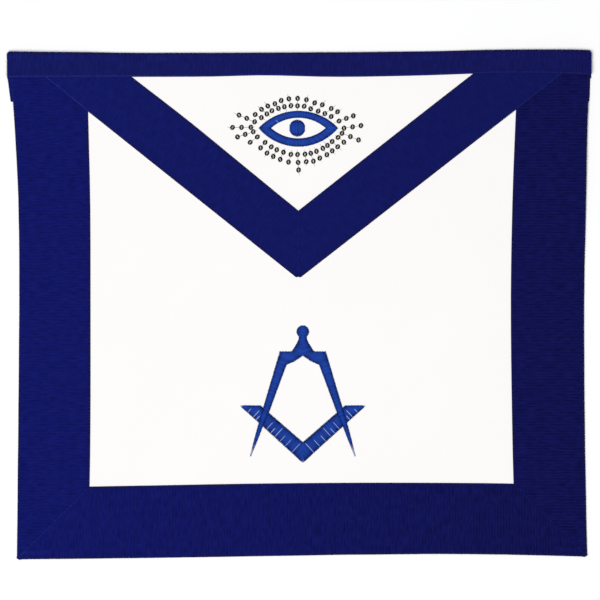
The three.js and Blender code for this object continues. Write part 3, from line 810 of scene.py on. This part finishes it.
def lay_flap_ribbon(name, node, side):
    """Flat ribbon along one slanting edge of the flap, cut off at the mitre and under the waistband."""
    sheet = flap_ribbon_sheet(node, side)
    over_border_from = abs(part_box("border_left")[1].x / MM)
    stations = cord_stations(*sheet.reach)
    outer, inner = sheet.spans(stations)
    mitred = (inner - outer < WHOLE_WIDTH * np.median(inner - outer)) & (stations < stations.mean())
    at_tip = falling_off(stations - stations[0], TIP_REACH)
    inner = inner + (MITRE_OVERLAP[side] + TIP_OVERLAP * at_tip) * mitred
    keep = inner - outer > NARROWEST_FLAT
    stations, outer, inner = stations[keep], outer[keep], inner[keep]
    width = (inner - outer)[:, None]
    full = np.median(width)
    inset = np.minimum(FLAT_INSET, 0.25 * width)
    across = outer[:, None] + inset + (width - 2 * inset) * across_shares(full, 8)
    along_all = np.broadcast_to(stations[:, None], across.shape)
    x, y = sheet.plan(along_all, across)
    top, _, _ = sheet.heights()
    over_mitre = falling_off(inner[:, None] - across, MITRE_REACH) * mitred[:, None]
    middle = np.stack([x, y, top.at(x, y) - RIBBON / 2 + MITRE_RISE[side] * over_mitre], -1)
    whole = whole_share(width, full)
    from_edge = np.minimum(across - outer[:, None], inner[:, None] - across)
    relief = cords(along_all) + RIPPLE * waviness(x, y, 9) + groove(from_edge - SEAM_INSET) * whole
    lay = np.stack([along_all, across, np.zeros_like(x)], -1)
    over_border = np.clip((np.abs(x) - over_border_from) / OVER_BORDER_REACH, 0, 1)
    outer_edge = across - outer[:, None] < width / 2
    outer_shade = ON_LEATHER + (ON_RIBBON - ON_LEATHER) * over_border
    inner_shade = np.where(mitred[:, None], MITRE_TONE * (MITRE_RISE[side] > 0), ON_LEATHER * whole)
    tone = ribbon_tone(x, y, from_edge, np.where(outer_edge, outer_shade, inner_shade))
    tone = tone + valley_tone(along_all, FLAP_VALLEY_TONE)
    made = cloth(name, middle, lay, RIBBON, relief, flap_grosgrain, tone)
    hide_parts(node)
    return made


def lay_leather(name, node, along, across, rows, columns, inset, short_along=0.0, short_across=0.0):
    """Leather sheet over the outline of a node, short of it by an inset and by more under the waistband."""
    sheet = CadSheet(node, along, across)
    low, high = sheet.reach
    stations = np.linspace(low + inset, high - inset - short_along, rows)
    start, end = sheet.spans(stations)
    start, end = start + inset, end - inset - short_across
    across_all = start[:, None] + (end - start)[:, None] * np.linspace(0, 1, columns)
    along_all = np.broadcast_to(stations[:, None], across_all.shape)
    x, y = sheet.plan(along_all, across_all)
    top, _, _ = sheet.heights()
    middle = np.stack([x, y, top.at(x, y) - LEATHER / 2], -1)
    relief = 0.07 * waviness(x, y, 14) + 0.05 * waviness(y, x, 5)
    lay = np.stack([along_all, across_all, np.zeros_like(x)], -1)
    made = cloth(name, middle, lay, LEATHER, relief, leather)
    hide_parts(node)
    return made


panel = lay_leather("panel_leather", "panel", (0, 1), (1, 0), 112, 124, inset=2.0, short_along=SHORT_OF_FOLD)
flap = lay_leather("flap_leather", "flap", (1, 0), (0, 1), 190, 42, inset=1.0, short_across=SHORT_OF_FOLD)
border_left = lay_border("border_left_ribbon", "border_left", (0, 1), (1, 0))
border_right = lay_border("border_right_ribbon", "border_right", (0, 1), (-1, 0))
border_bottom = lay_border("border_bottom_ribbon", "border_bottom", (1, 0), (0, 1))
flap_ribbon_left = lay_flap_ribbon("flap_left_ribbon", "flap_ribbon_left", -1)
flap_ribbon_right = lay_flap_ribbon("flap_right_ribbon", "flap_ribbon_right", 1)
waistband = lay_waistband()


# Embroidery


def satin_shares():
    """Places along a stitch, closer together at its ends."""
    return (1 - np.cos(np.linspace(0, math.pi, SATIN_STEPS))) / 2


def satin_paths(starts, ends, top, joined):
    """Paths of raised stitches between pairs of plan points, under a height map of the padding's top.

    joined is true for the stitches whose start meets another stitch's, where they stay up.
    """
    shares = satin_shares()[None, :, None]
    along = unit(ends - starts)[:, None]
    long = np.linalg.norm(ends - starts, axis=1)[:, None]
    past_end = SATIN_REACH + rng.uniform(-SATIN_UNEVEN, SATIN_UNEVEN, size=(len(starts), 1, 1))
    past_end = past_end * np.minimum(long / FULL_STITCH, 1)[..., None]
    past_start = np.where(joined[:, None, None], SATIN_OVERLAP, past_end)
    plan = starts[:, None] * (1 - shares) + ends[:, None] * shares
    plan = plan + along * (past_end * shares - past_start * (1 - shares))
    swell = np.sin(math.pi * shares[..., 0]) ** 0.5
    half_swell = np.cos(math.pi / 2 * shares[..., 0]) ** 0.5
    swell = np.where(joined[:, None], half_swell, swell)
    rise = PADDING * np.clip(long / FULL_STITCH, LOWEST_STITCH, 1)
    crown = top.at(plan[..., 0], plan[..., 1]) - SATIN_THREAD
    z = crown - rise * SATIN_DROP * (1 - swell) - (PADDING - rise)
    return np.concatenate([plan, z[..., None]], -1)


def right_half_chords(node, bearing, centre):
    """Stitch lines over the right half of a figure that is alike on both sides of its middle line.

    bearing is the direction in which its limb runs, in degrees from +X. The stitches lie across it.
    """
    turn = math.radians(bearing)
    sheet = CadSheet(node, (math.cos(turn), math.sin(turn)), (-math.sin(turn), math.cos(turn)))
    middle_low, middle_high = CadSheet(node, (1, 0), (0, 1)).span(centre)
    starts, ends, joined = [], [], []
    for along in np.arange(sheet.reach[0] + FIRST_STITCH, sheet.reach[1] - LAST_STITCH, SATIN_PITCH):
        across, _ = sheet.cut(along)
        x, y = sheet.plan(along, across)
        right = x > centre
        if not right.any():
            continue
        met = np.stack([x[right], y[right]], -1)[np.argsort(x[right])]
        start, end = met[0], met[-1]
        middle_y = (along - centre * math.cos(turn)) / math.sin(turn)
        crosses = middle_low < middle_y < middle_high
        if crosses:
            start = np.array([centre, middle_y])
        if np.linalg.norm(end - start) > SHORTEST_STITCH:
            starts.append(start)
            ends.append(end)
            joined.append(crosses)
    return np.array(starts), np.array(ends), np.array(joined)


def mirrored(points, centre):
    """Plan points on the other side of an upright line."""
    return np.stack([2 * centre - points[:, 0], points[:, 1]], -1)


def place_satin(name, node, starts, ends, joined=None):
    """Satin stitches in place of a figure's padding. Gives back the height map of the padding's top."""
    top, _, _ = CadSheet(node).heights()
    long = np.linalg.norm(ends - starts, axis=1)
    radius = SATIN_THREAD * np.clip(long / FULL_STITCH, FINEST_STITCH, 1)
    joined = np.zeros(len(starts), bool) if joined is None else joined
    from_middle = np.abs(2 * satin_shares() - 1)
    from_middle = np.where(joined[:, None], satin_shares(), from_middle)
    shade = -SATIN_SHADE * from_middle**3
    paths = satin_paths(starts, ends, top, joined)
    made = thread_work(name, paths, radius, rayon, SATIN_TONES, flatness=SATIN_FLATNESS, shade=shade)
    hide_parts(node)
    return top


figure_low, figure_high = box("compasses")
figure_centre = (figure_low.x + figure_high.x) / 2


def sew_both_halves(name, node, bearing, knob_height=0.0):
    """Satin stitch over a figure in two halves that meet at its middle, under a knob with level stitches."""
    starts, ends, joined = right_half_chords(node, bearing, figure_centre)
    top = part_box(node)[1].y / MM
    below = (starts[:, 1] + ends[:, 1]) / 2 < top - knob_height if knob_height else np.full(len(starts), True)
    starts, ends, joined = starts[below], ends[below], joined[below]
    starts = np.concatenate([starts, mirrored(starts, figure_centre)])
    ends = np.concatenate([ends, mirrored(ends, figure_centre)])
    joined = np.tile(joined, 2)
    if knob_height:
        levels = np.linspace(top - knob_height, top - FIRST_STITCH, round(knob_height / SATIN_PITCH))
        left, right = CadSheet(node, (0, 1), (1, 0)).spans(levels)
        starts = np.concatenate([starts, np.stack([left, levels], -1)])
        ends = np.concatenate([ends, np.stack([right, levels], -1)])
        joined = np.concatenate([joined, np.full(len(levels), False)])
    return place_satin(name, node, starts, ends, joined)


sew_both_halves("compasses_satin", "compasses", LEG_BEARING, KNOB_HEIGHT)
square_top = sew_both_halves("square_satin", "square", ARM_BEARING)


def arc_height(share, half, rise):
    """Height of a circular arc over its chord, at a share of the half chord from its middle."""
    radius = (half**2 + rise**2) / (2 * rise)
    return math.sqrt(max(radius**2 - (share * half) ** 2, 0)) - (radius - rise)


def sew_eye():
    """Rim of the eye: stitches from its opening outwards, fanned round its two corners.

    Gives back the height map of its padding's top, and its middle.
    """
    upright = CadSheet("eye_outline", (1, 0), (0, 1))
    level = CadSheet("eye_outline", (0, 1), (1, 0))
    low, high = box("eye_outline")
    pupil_low, pupil_high = box("pupil")
    centre = np.array([(low.x + high.x) / 2, (pupil_low.y + pupil_high.y) / 2])
    beside = 0.01  # the cuts miss the model's points by this much
    across, _ = level.cut(centre[1] + beside)
    half_outer = (high.x - low.x) / 2
    half_inner = (across[across > centre[0]]).min() - centre[0]
    heights, _ = upright.cut(centre[0] + beside)
    starts, ends = [], []
    for side in (1, -1):
        found = side * (heights - centre[1])
        rim_outer, rim_inner = found.max(), found[found > 0].min()
        count = round(EYE_CLOSENESS * half_outer / SATIN_PITCH)
        shares = np.linspace(-1, 1, count)
        # The two rows share the stitch at each corner
        for share in shares if side > 0 else shares[1:-1]:
            ends.append(centre + (share * half_outer, side * arc_height(share, half_outer, rim_outer)))
            starts.append(centre + (share * half_inner, side * arc_height(share, half_inner, rim_inner)))
    return place_satin("eye_satin", "eye_outline", np.array(starts), np.array(ends)), centre


def sew_disc(name, node):
    """Round spot of upright stitches."""
    low, high = box(node)
    centre = np.array([(low.x + high.x) / 2, (low.y + high.y) / 2])
    radius = (high.x - low.x) / 2
    offsets = np.linspace(-radius + SATIN_THREAD, radius - SATIN_THREAD, round(2 * radius / SATIN_PITCH))
    reach = np.sqrt(radius**2 - offsets**2) + DISC_REACH
    starts = centre + np.stack([offsets, -reach], -1)
    ends = centre + np.stack([offsets, reach], -1)
    place_satin(name, node, starts, ends)


eye_top, eye_centre = sew_eye()
sew_disc("pupil_satin", "pupil")

# Light stitches across the square's arms, from their outer edge: how far along the arm from its end,
# and how far they reach over it
RULE_STITCHES = (
    {"along": 7.3, "reach": 3.6},
    {"along": 12.4, "reach": 6.8},
    {"along": 15.3, "reach": 4.0},
    {"along": 25.4, "reach": 7.0},
    {"along": 29.5, "reach": 5.0},
    {"along": 33.3, "reach": 8.8},
    {"along": 38.3, "reach": 5.9},
    {"along": 43.7, "reach": 6.8},
    {"along": 49.8, "reach": 9.2},
)
RULE_THREAD = 0.22
RULE_UNEVEN = 0.3
RULE_INSET = 0.2  # how far inside the arm's edge they begin
RULE_HEIGHT = 0.05  # over the padding
RULE_SUNK = (0.5, 0.35)  # how far their two ends go down
RULE_STEPS = 6
LID_STITCH = {"across": -13.9, "up": 3.6, "reach": (-2.2, 1.9)}  # from the eye's middle
LID_DEPTH = 0.15


def sew_rule():
    """Light stitches across both arms of the square, and one on the eye's rim."""
    low, high = box("square")
    corner = np.array([high.x, high.y])
    tip = np.array([figure_centre, low.y])
    down_arm = unit(tip - corner)
    over_arm = np.array([down_arm[1], -down_arm[0]])
    shares = np.linspace(0, 1, RULE_STEPS)[:, None]
    paths = []
    for row in RULE_STITCHES:
        for side in (1, -1):
            start = corner + down_arm * (row["along"] + rng.uniform(-RULE_UNEVEN, RULE_UNEVEN))
            plan = start + over_arm * (RULE_INSET + row["reach"] * shares)
            if side < 0:
                plan = mirrored(plan, figure_centre)
            z = square_top.at(plan[:, 0], plan[:, 1]) + RULE_HEIGHT
            z[[0, -1]] -= RULE_SUNK
            paths.append(np.column_stack([plan, z]))
    plan = eye_centre + (LID_STITCH["across"], LID_STITCH["up"]) + shares * LID_STITCH["reach"]
    paths.append(np.column_stack([plan, eye_top.at(plan[:, 0], plan[:, 1]) - LID_DEPTH]))
    made = thread_work("pale_stitches", paths, RULE_THREAD, tick_thread)


sew_rule()


# Sequins in rays round the eye, on two rings. near and far are how far across from the eye's
# middle a ray's two sequins are, from left to right, and up is how much higher than their rings
# they were sewn. A long ray has a third one past them.
RAYS_BELOW = (
    {"near": -31.5, "far": -37.2, "up": (1.3, 1.1), "long": True},
    {"near": -28.5, "far": -33.6, "up": (0.6, -0.8)},
    {"near": -22.9, "far": -26.0, "up": (0.6, 0.8)},
    {"near": -18.4, "far": -21.4, "up": (0.0, -0.4)},
    {"near": -14.4, "far": -16.9, "up": (-0.4, -0.6)},
    {"near": -9.7, "far": -11.9, "up": (-0.4, -0.8)},
    {"near": -4.3, "far": -5.9, "up": (-0.6, -1.0)},
    {"near": 0.5, "far": 1.0, "up": (-0.2, -0.4), "long": True},
    {"near": 5.8, "far": 6.7, "up": (-0.5, -0.7)},
    {"near": 9.9, "far": 11.8, "up": (-0.9, -1.6)},
    {"near": 14.0, "far": 16.5, "up": (-0.7, -1.0)},
    {"near": 18.5, "far": 21.5, "up": (-0.4, -0.7)},
    {"near": 21.7, "far": 25.2, "up": (0.1, 0.2)},
    {"near": 25.0, "far": 29.1, "up": (1.0, 0.8)},
    {"near": 29.2, "far": 33.4, "up": (0.9, 0.8)},
    {"near": 32.0, "far": 38.0, "up": (0.9, 0.0), "long": True},
)
RAYS_ABOVE = (
    {"near": -33.3, "far": -40.0, "up": (-0.6, -0.7), "long": True},
    {"near": -30.7, "far": -36.4, "up": (0.0, 0.6), "long": True},
    {"near": -26.0, "far": -30.5, "up": (-0.6, -1.3)},
    {"near": -22.0, "far": -26.0, "up": (-0.1, -0.2)},
    {"near": -18.5, "far": -21.5, "up": (0.6, 0.0)},
    {"near": -13.9, "far": -16.5, "up": (0.7, -0.3)},
    {"near": -9.6, "far": -12.0, "up": (0.6, 0.6)},
    {"near": -4.9, "far": -6.5, "up": (0.4, 0.6)},
    {"near": -0.3, "far": -0.3, "up": (-0.2, 0.2)},
    {"near": 4.5, "far": 6.0, "up": (0.2, 0.0)},
    {"near": 9.2, "far": 12.0, "up": (-0.6, -0.6)},
    {"near": 14.5, "far": 17.4, "up": (-0.6, 0.0)},
    {"near": 19.4, "far": 23.9, "up": (-0.3, 0.3)},
    {"near": 24.0, "far": 28.5, "up": (0.0, 0.6)},
    {"near": 29.7, "far": 34.8, "up": (0.9, 0.6), "long": True},
    {"near": 33.3, "far": 39.4, "up": (0.2, 0.0), "long": True},
)
RINGS = {
    "near": {"half_width": 33.6, "above": 16.6, "below": 18.2},
    "far": {"half_width": 40.2, "above": 21.6, "below": 23.6},
}
RING_PLACE = (-0.7, -0.6)  # from the eye's middle
RING_TURN = math.radians(-1.2)
RING_POINT = 1.55  # power of the rings' curve: 2 would be an ellipse and 1 a diamond
RING_END = 0.998  # share of the half width past which the curve isn't followed
LONG_RAY_STEP = 0.97  # from the second sequin to the third, in steps from the first to the second
SEQUIN_RADIUS = 1.7
SEQUIN_CUP = 0.45
SEQUIN_SHEET = 0.12
SEQUIN_SIDES = 20
SEQUIN_CLEAR = 0.02  # how far they are clear of the leather
SEQUIN_TILT = (2, 9)  # least and most, in degrees
SEQUIN_BEARING = (84, 17)  # mean and spread of the way in which their holes point, in degrees
HOLD_TURN = 0.35  # radians between a hole and the thread over it
HOLD_REACH = 1.06  # how far the thread reaches past the sequin's radius
HOLD_PLACES = (-1.0, -0.75, -0.3, 0.3, 0.75, 1.0)  # its points, as shares of that reach
HOLD_ARCH = (0.1, 1.05, 0.35, 0.35, 1.05, 0.1)  # their heights, as shares of the sequin's cup
HOLD_THREAD = 0.2
TAIL_BEFORE = (2.6, 4.2)  # how far a ray's thread begins before its first sequin, least and most
TAIL_AFTER = (2.2, 4.4)
TAIL_WANDER = 0.12
TAIL_HEIGHT = 0.1
TAIL_THREAD = 0.19
# Rings of a sequin's section: share of its radius, how much longer than wide, and share of its cup
SEQUIN_SECTION = (
    {"radius": 0.25, "longer": 2.1, "height": 0.0},
    {"radius": 0.6, "longer": 1.35, "height": 0.12},
    {"radius": 0.84, "longer": 1.16, "height": 0.55},
    {"radius": 1.0, "longer": 1.12, "height": 1.0},
)


def ring_place(ring, across, side):
    """Plan place on a ring, at a distance across from its middle."""
    share = min(RING_END, abs(across) / ring["half_width"])
    height = (1 - share**RING_POINT) ** (1 / RING_POINT) * ring["above" if side > 0 else "below"]
    c, s = math.cos(RING_TURN), math.sin(RING_TURN)
    turned_place = np.array([across * c - side * height * s, across * s + side * height * c])
    return eye_centre + RING_PLACE + turned_place


def sequin_rays():
    """The plan places of the sequins on each ray, from the eye outwards."""
    rays = []
    for side, table in ((-1, RAYS_BELOW), (1, RAYS_ABOVE)):
        for row in table:
            near, far = (
                ring_place(RINGS[ring], row[ring], side) + (0, up)
                for ring, up in zip(("near", "far"), row["up"])
            )
            third = [far + (far - near) * LONG_RAY_STEP] if row.get("long") else []
            rays.append([near, far, *third])
    return rays


def sequin_form():
    """One cupped sequin with a long hole, round the origin: rings of its section, and back below."""
    angles = 2 * math.pi * np.arange(SEQUIN_SIDES) / SEQUIN_SIDES
    rings = []
    for under in (False, True):
        for row in reversed(SEQUIN_SECTION) if under else SEQUIN_SECTION:
            wide = row["radius"] * SEQUIN_RADIUS
            z = row["height"] * SEQUIN_CUP + (0 if under else SEQUIN_SHEET)
            x, y = wide * row["longer"] * np.cos(angles), wide * np.sin(angles)
            rings.append(np.stack([x, y, np.full(SEQUIN_SIDES, z)], -1))
    points = np.concatenate(rings)
    index = np.arange(len(points)).reshape(len(rings), SEQUIN_SIDES)
    following = np.roll(index, -1, axis=0)
    faces = np.stack([index, np.roll(index, -1, 1), np.roll(following, -1, 1), following], -1).reshape(-1, 4)
    return points, faces[:, ::-1] if volume(points, faces) < 0 else faces


def turned(points, spin, tilt, towards):
    """Points spun about the upright, and then tilted towards a bearing."""
    c, s = math.cos(spin), math.sin(spin)
    points = points @ np.array([[c, s, 0], [-s, c, 0], [0, 0, 1]])
    axis = np.array([-math.sin(towards), math.cos(towards), 0])
    c, s = math.cos(tilt), math.sin(tilt)
    return points * c + np.cross(axis, points) * s + axis * (points @ axis)[:, None] * (1 - c)


def sew_sequins():
    """The sequins on the flap, a thread over each and a thread along each ray."""
    form, form_faces = sequin_form()
    flap_top, _, _ = CadSheet("flap").heights()
    points, faces, holds, tails = [], [], [], []
    for ray in sequin_rays():
        for place in ray:
            tilt = math.radians(rng.uniform(*SEQUIN_TILT))
            base = flap_top.at(*place) + SEQUIN_RADIUS * math.sin(tilt) + SEQUIN_CLEAR
            bearing = math.radians(rng.normal(*SEQUIN_BEARING))
            points.append(turned(form, bearing, tilt, rng.uniform(0, 2 * math.pi)) + (*place, base))
            faces.append(form_faces + len(form) * len(faces))
            step = np.array([math.cos(bearing + HOLD_TURN), math.sin(bearing + HOLD_TURN)])
            plan = place + step * np.array(HOLD_PLACES)[:, None] * SEQUIN_RADIUS * HOLD_REACH
            arch = base + SEQUIN_SHEET + SEQUIN_CUP * np.array(HOLD_ARCH)
            holds.append(np.column_stack([plan, arch]))
        out = unit(ray[-1] - ray[0])
        start = ray[0] - out * rng.uniform(*TAIL_BEFORE)
        end = ray[-1] + out * rng.uniform(*TAIL_AFTER)
        plan = start + (end - start) * np.linspace(0, 1, 8)[:, None]
        plan = plan + rng.normal(0, TAIL_WANDER, size=plan.shape)
        tails.append(np.column_stack([plan, flap_top.at(plan[:, 0], plan[:, 1]) + TAIL_HEIGHT]))
    sequins = make_object("sequins", np.concatenate(points), np.concatenate(faces).tolist(), sequin_metal)
    held = thread_work("sequin_holding_threads", holds, HOLD_THREAD, holding_thread, sides=5)
    rays = thread_work("sequin_ray_threads", tails, TAIL_THREAD, ray_thread, sides=5)


sew_sequins()


# Seams


def edge_seam(
    sheet, low, high,
    inset=SEAM_INSET, pitch=SEAM_PITCH, stitch=SEAM_STITCH, depth=SEAM_GROOVE, from_start=False,
):
    """Running stitches that follow one edge of a sheet at an inset, between two places along it.

    The edge is the one farthest across, or with from_start the one at the start.
    """
    top, _, folded_top = sheet.heights()
    above = -math.inf
    if sheet.node == "waistband":
        top, above = folded_top, BETWEEN_LEGS
    places = np.linspace(low, high, 60)
    start, end = sheet.spans(places, above)
    edge = start + inset if from_start else end - inset
    paths = []
    for i in range(int((high - low) / pitch)):
        first = low + pitch * (i + rng.uniform(-SEAM_UNEVEN, SEAM_UNEVEN))
        along = first + stitch * np.linspace(0, 1, len(SEAM_ARCH))
        x, y = sheet.plan(along, np.interp(along, places, edge) + rng.normal(0, SEAM_WANDER))
        z = top.at(x, y) - depth + np.array(SEAM_ARCH)
        paths.append(np.column_stack([x, y, z]))
    return paths


def slip_seam(sheet, low, high, from_start=False):
    """Close stitches along an edge that lies on another ribbon."""
    return edge_seam(sheet, low, high, SLIP_INSET, SLIP_PITCH, SLIP_STITCH, SLIP_DEPTH, from_start)


def end_of_mitre(sheet):
    """Where along a slanting flap ribbon its mitre ends and its whole width begins."""
    stations = np.linspace(*sheet.reach, 80)[1:-1]
    start, end = sheet.spans(stations)
    return stations[np.argmax(end - start > WHOLE_WIDTH * np.median(end - start))]


BAND_FRONT = 18.0  # how far below the flap's upper edge the borders' seams pass under the waistband
FLAP_RIBBON_HIDDEN = 40.0  # from a flap ribbon's farthest point back to where its middle is covered
FLAP_SEAM_SHORT = 18.0  # how much sooner than its middle its inner edge is covered
FLAP_SEAM_PAST = 22.0  # how much later its outer edge is
FLAP_SEAM_FROM_TIP = 4.0
OVER_BORDER_FROM = 0.7  # share of the way from its mitre to there at which it passes on to a border


def sew_edges():
    """Stitches along the ribbons: dark ones on the leather, and lighter ones on another ribbon."""
    corner = box("border_bottom")[1].y + SEAM_FROM_CORNER
    band_low = box("flap")[1].y - BAND_FRONT
    dark = edge_seam(CadSheet("border_left", (0, 1), (1, 0)), corner, band_low)
    dark += edge_seam(CadSheet("border_right", (0, 1), (-1, 0)), corner, band_low)
    bottom = CadSheet("border_bottom", (1, 0), (0, 1))
    inner_left, inner_right = (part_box(n)[i].x / MM for n, i in (("border_left", 1), ("border_right", 0)))
    dark += edge_seam(bottom, inner_left + SEAM_FROM_CORNER, inner_right - SEAM_FROM_CORNER)
    light = []
    for node, side in (("flap_ribbon_left", -1), ("flap_ribbon_right", 1)):
        sheet = flap_ribbon_sheet(node, side)
        whole = end_of_mitre(sheet)
        end = sheet.reach[1] - FLAP_RIBBON_HIDDEN
        dark += edge_seam(sheet, whole + SEAM_FROM_CORNER, end - FLAP_SEAM_SHORT)
        over_border = whole + (end - whole) * OVER_BORDER_FROM
        dark += edge_seam(sheet, sheet.reach[0] + FLAP_SEAM_FROM_TIP, over_border, from_start=True)
        light += slip_seam(sheet, over_border, end + FLAP_SEAM_PAST, from_start=True)
    band = CadSheet("waistband", (1, 0), (0, -1))
    light += slip_seam(band, band.reach[0] + SEAM_FROM_CORNER, band.reach[1] - SEAM_FROM_CORNER)
    made = thread_work("edge_stitches", dark, SEAM_THREAD, seam_thread, sides=5)
    # Painted light: like the ribbons, these stitches are paler on the apron's left, where more light falls
    worn = painted_light_share(np.array([path[0][0] for path in light]))
    made = thread_work("slip_stitches", light, SEAM_THREAD, slip_thread, (0.25 * worn, worn), sides=5)


sew_edges()


# Floor, light and camera

PICTURE_WIDTH = 429.3  # how much of the floor the photograph shows from side to side
PICTURE_CENTRE = (0.57, 3.22)
CAMERA_HEIGHT = 8000.0
SENSOR = 36.0
FLOOR_HALF = 4000.0


def place_camera():
    """Camera straight above the apron, far up, as in the photograph."""
    data = bpy.data.cameras.new("camera")
    data.sensor_width = SENSOR
    data.lens = SENSOR * CAMERA_HEIGHT / PICTURE_WIDTH
    camera = bpy.data.objects.new("camera", data)
    camera.location = (PICTURE_CENTRE[0] * MM, PICTURE_CENTRE[1] * MM, CAMERA_HEIGHT * MM)
    bpy.context.scene.collection.objects.link(camera)
    bpy.context.scene.camera = camera


def place_softbox(name, place, size, power):
    """Square lamp aimed at the apron. Its place and size are metres, and its power watts."""
    data = bpy.data.lights.new(name, "AREA")
    data.shape = "SQUARE"
    data.size = size
    data.energy = power
    lamp = bpy.data.objects.new(name, data)
    lamp.location = place
    lamp.rotation_euler = (-Vector(place)).to_track_quat("-Z", "Y").to_euler()
    lamp.visible_camera = False
    bpy.context.scene.collection.objects.link(lamp)


def lay_floor():
    """The white paper that the apron lies on."""
    half = FLOOR_HALF * MM
    corners = [(-half, -half, 0), (half, -half, 0), (half, half, 0), (-half, half, 0)]
    mesh = bpy.data.meshes.new("floor")
    mesh.from_pydata(corners, [], [(0, 1, 2, 3)])
    mesh.materials.append(paper_floor())
    floor = bpy.data.objects.new("floor", mesh)
    bpy.context.scene.collection.objects.link(floor)


def light_studio():
    """Soft light from straight above, a little from the lower left, and a faint even fill."""
    world = bpy.data.worlds.new("studio")
    world.use_nodes = True
    background = world.node_tree.nodes["Background"]
    background.inputs["Color"].default_value = linear("#fbfcff")
    background.inputs["Strength"].default_value = 0.12
    bpy.context.scene.world = world
    place_softbox("overhead_softbox", (-0.06, 0.02, 2.8), 0.6, 50.8)
    place_softbox("left_softbox", (-0.45, -0.4, 2.5), 0.6, 19.6)
    bpy.context.scene.view_settings.view_transform = "Standard"


place_camera()
lay_floor()
light_studio()
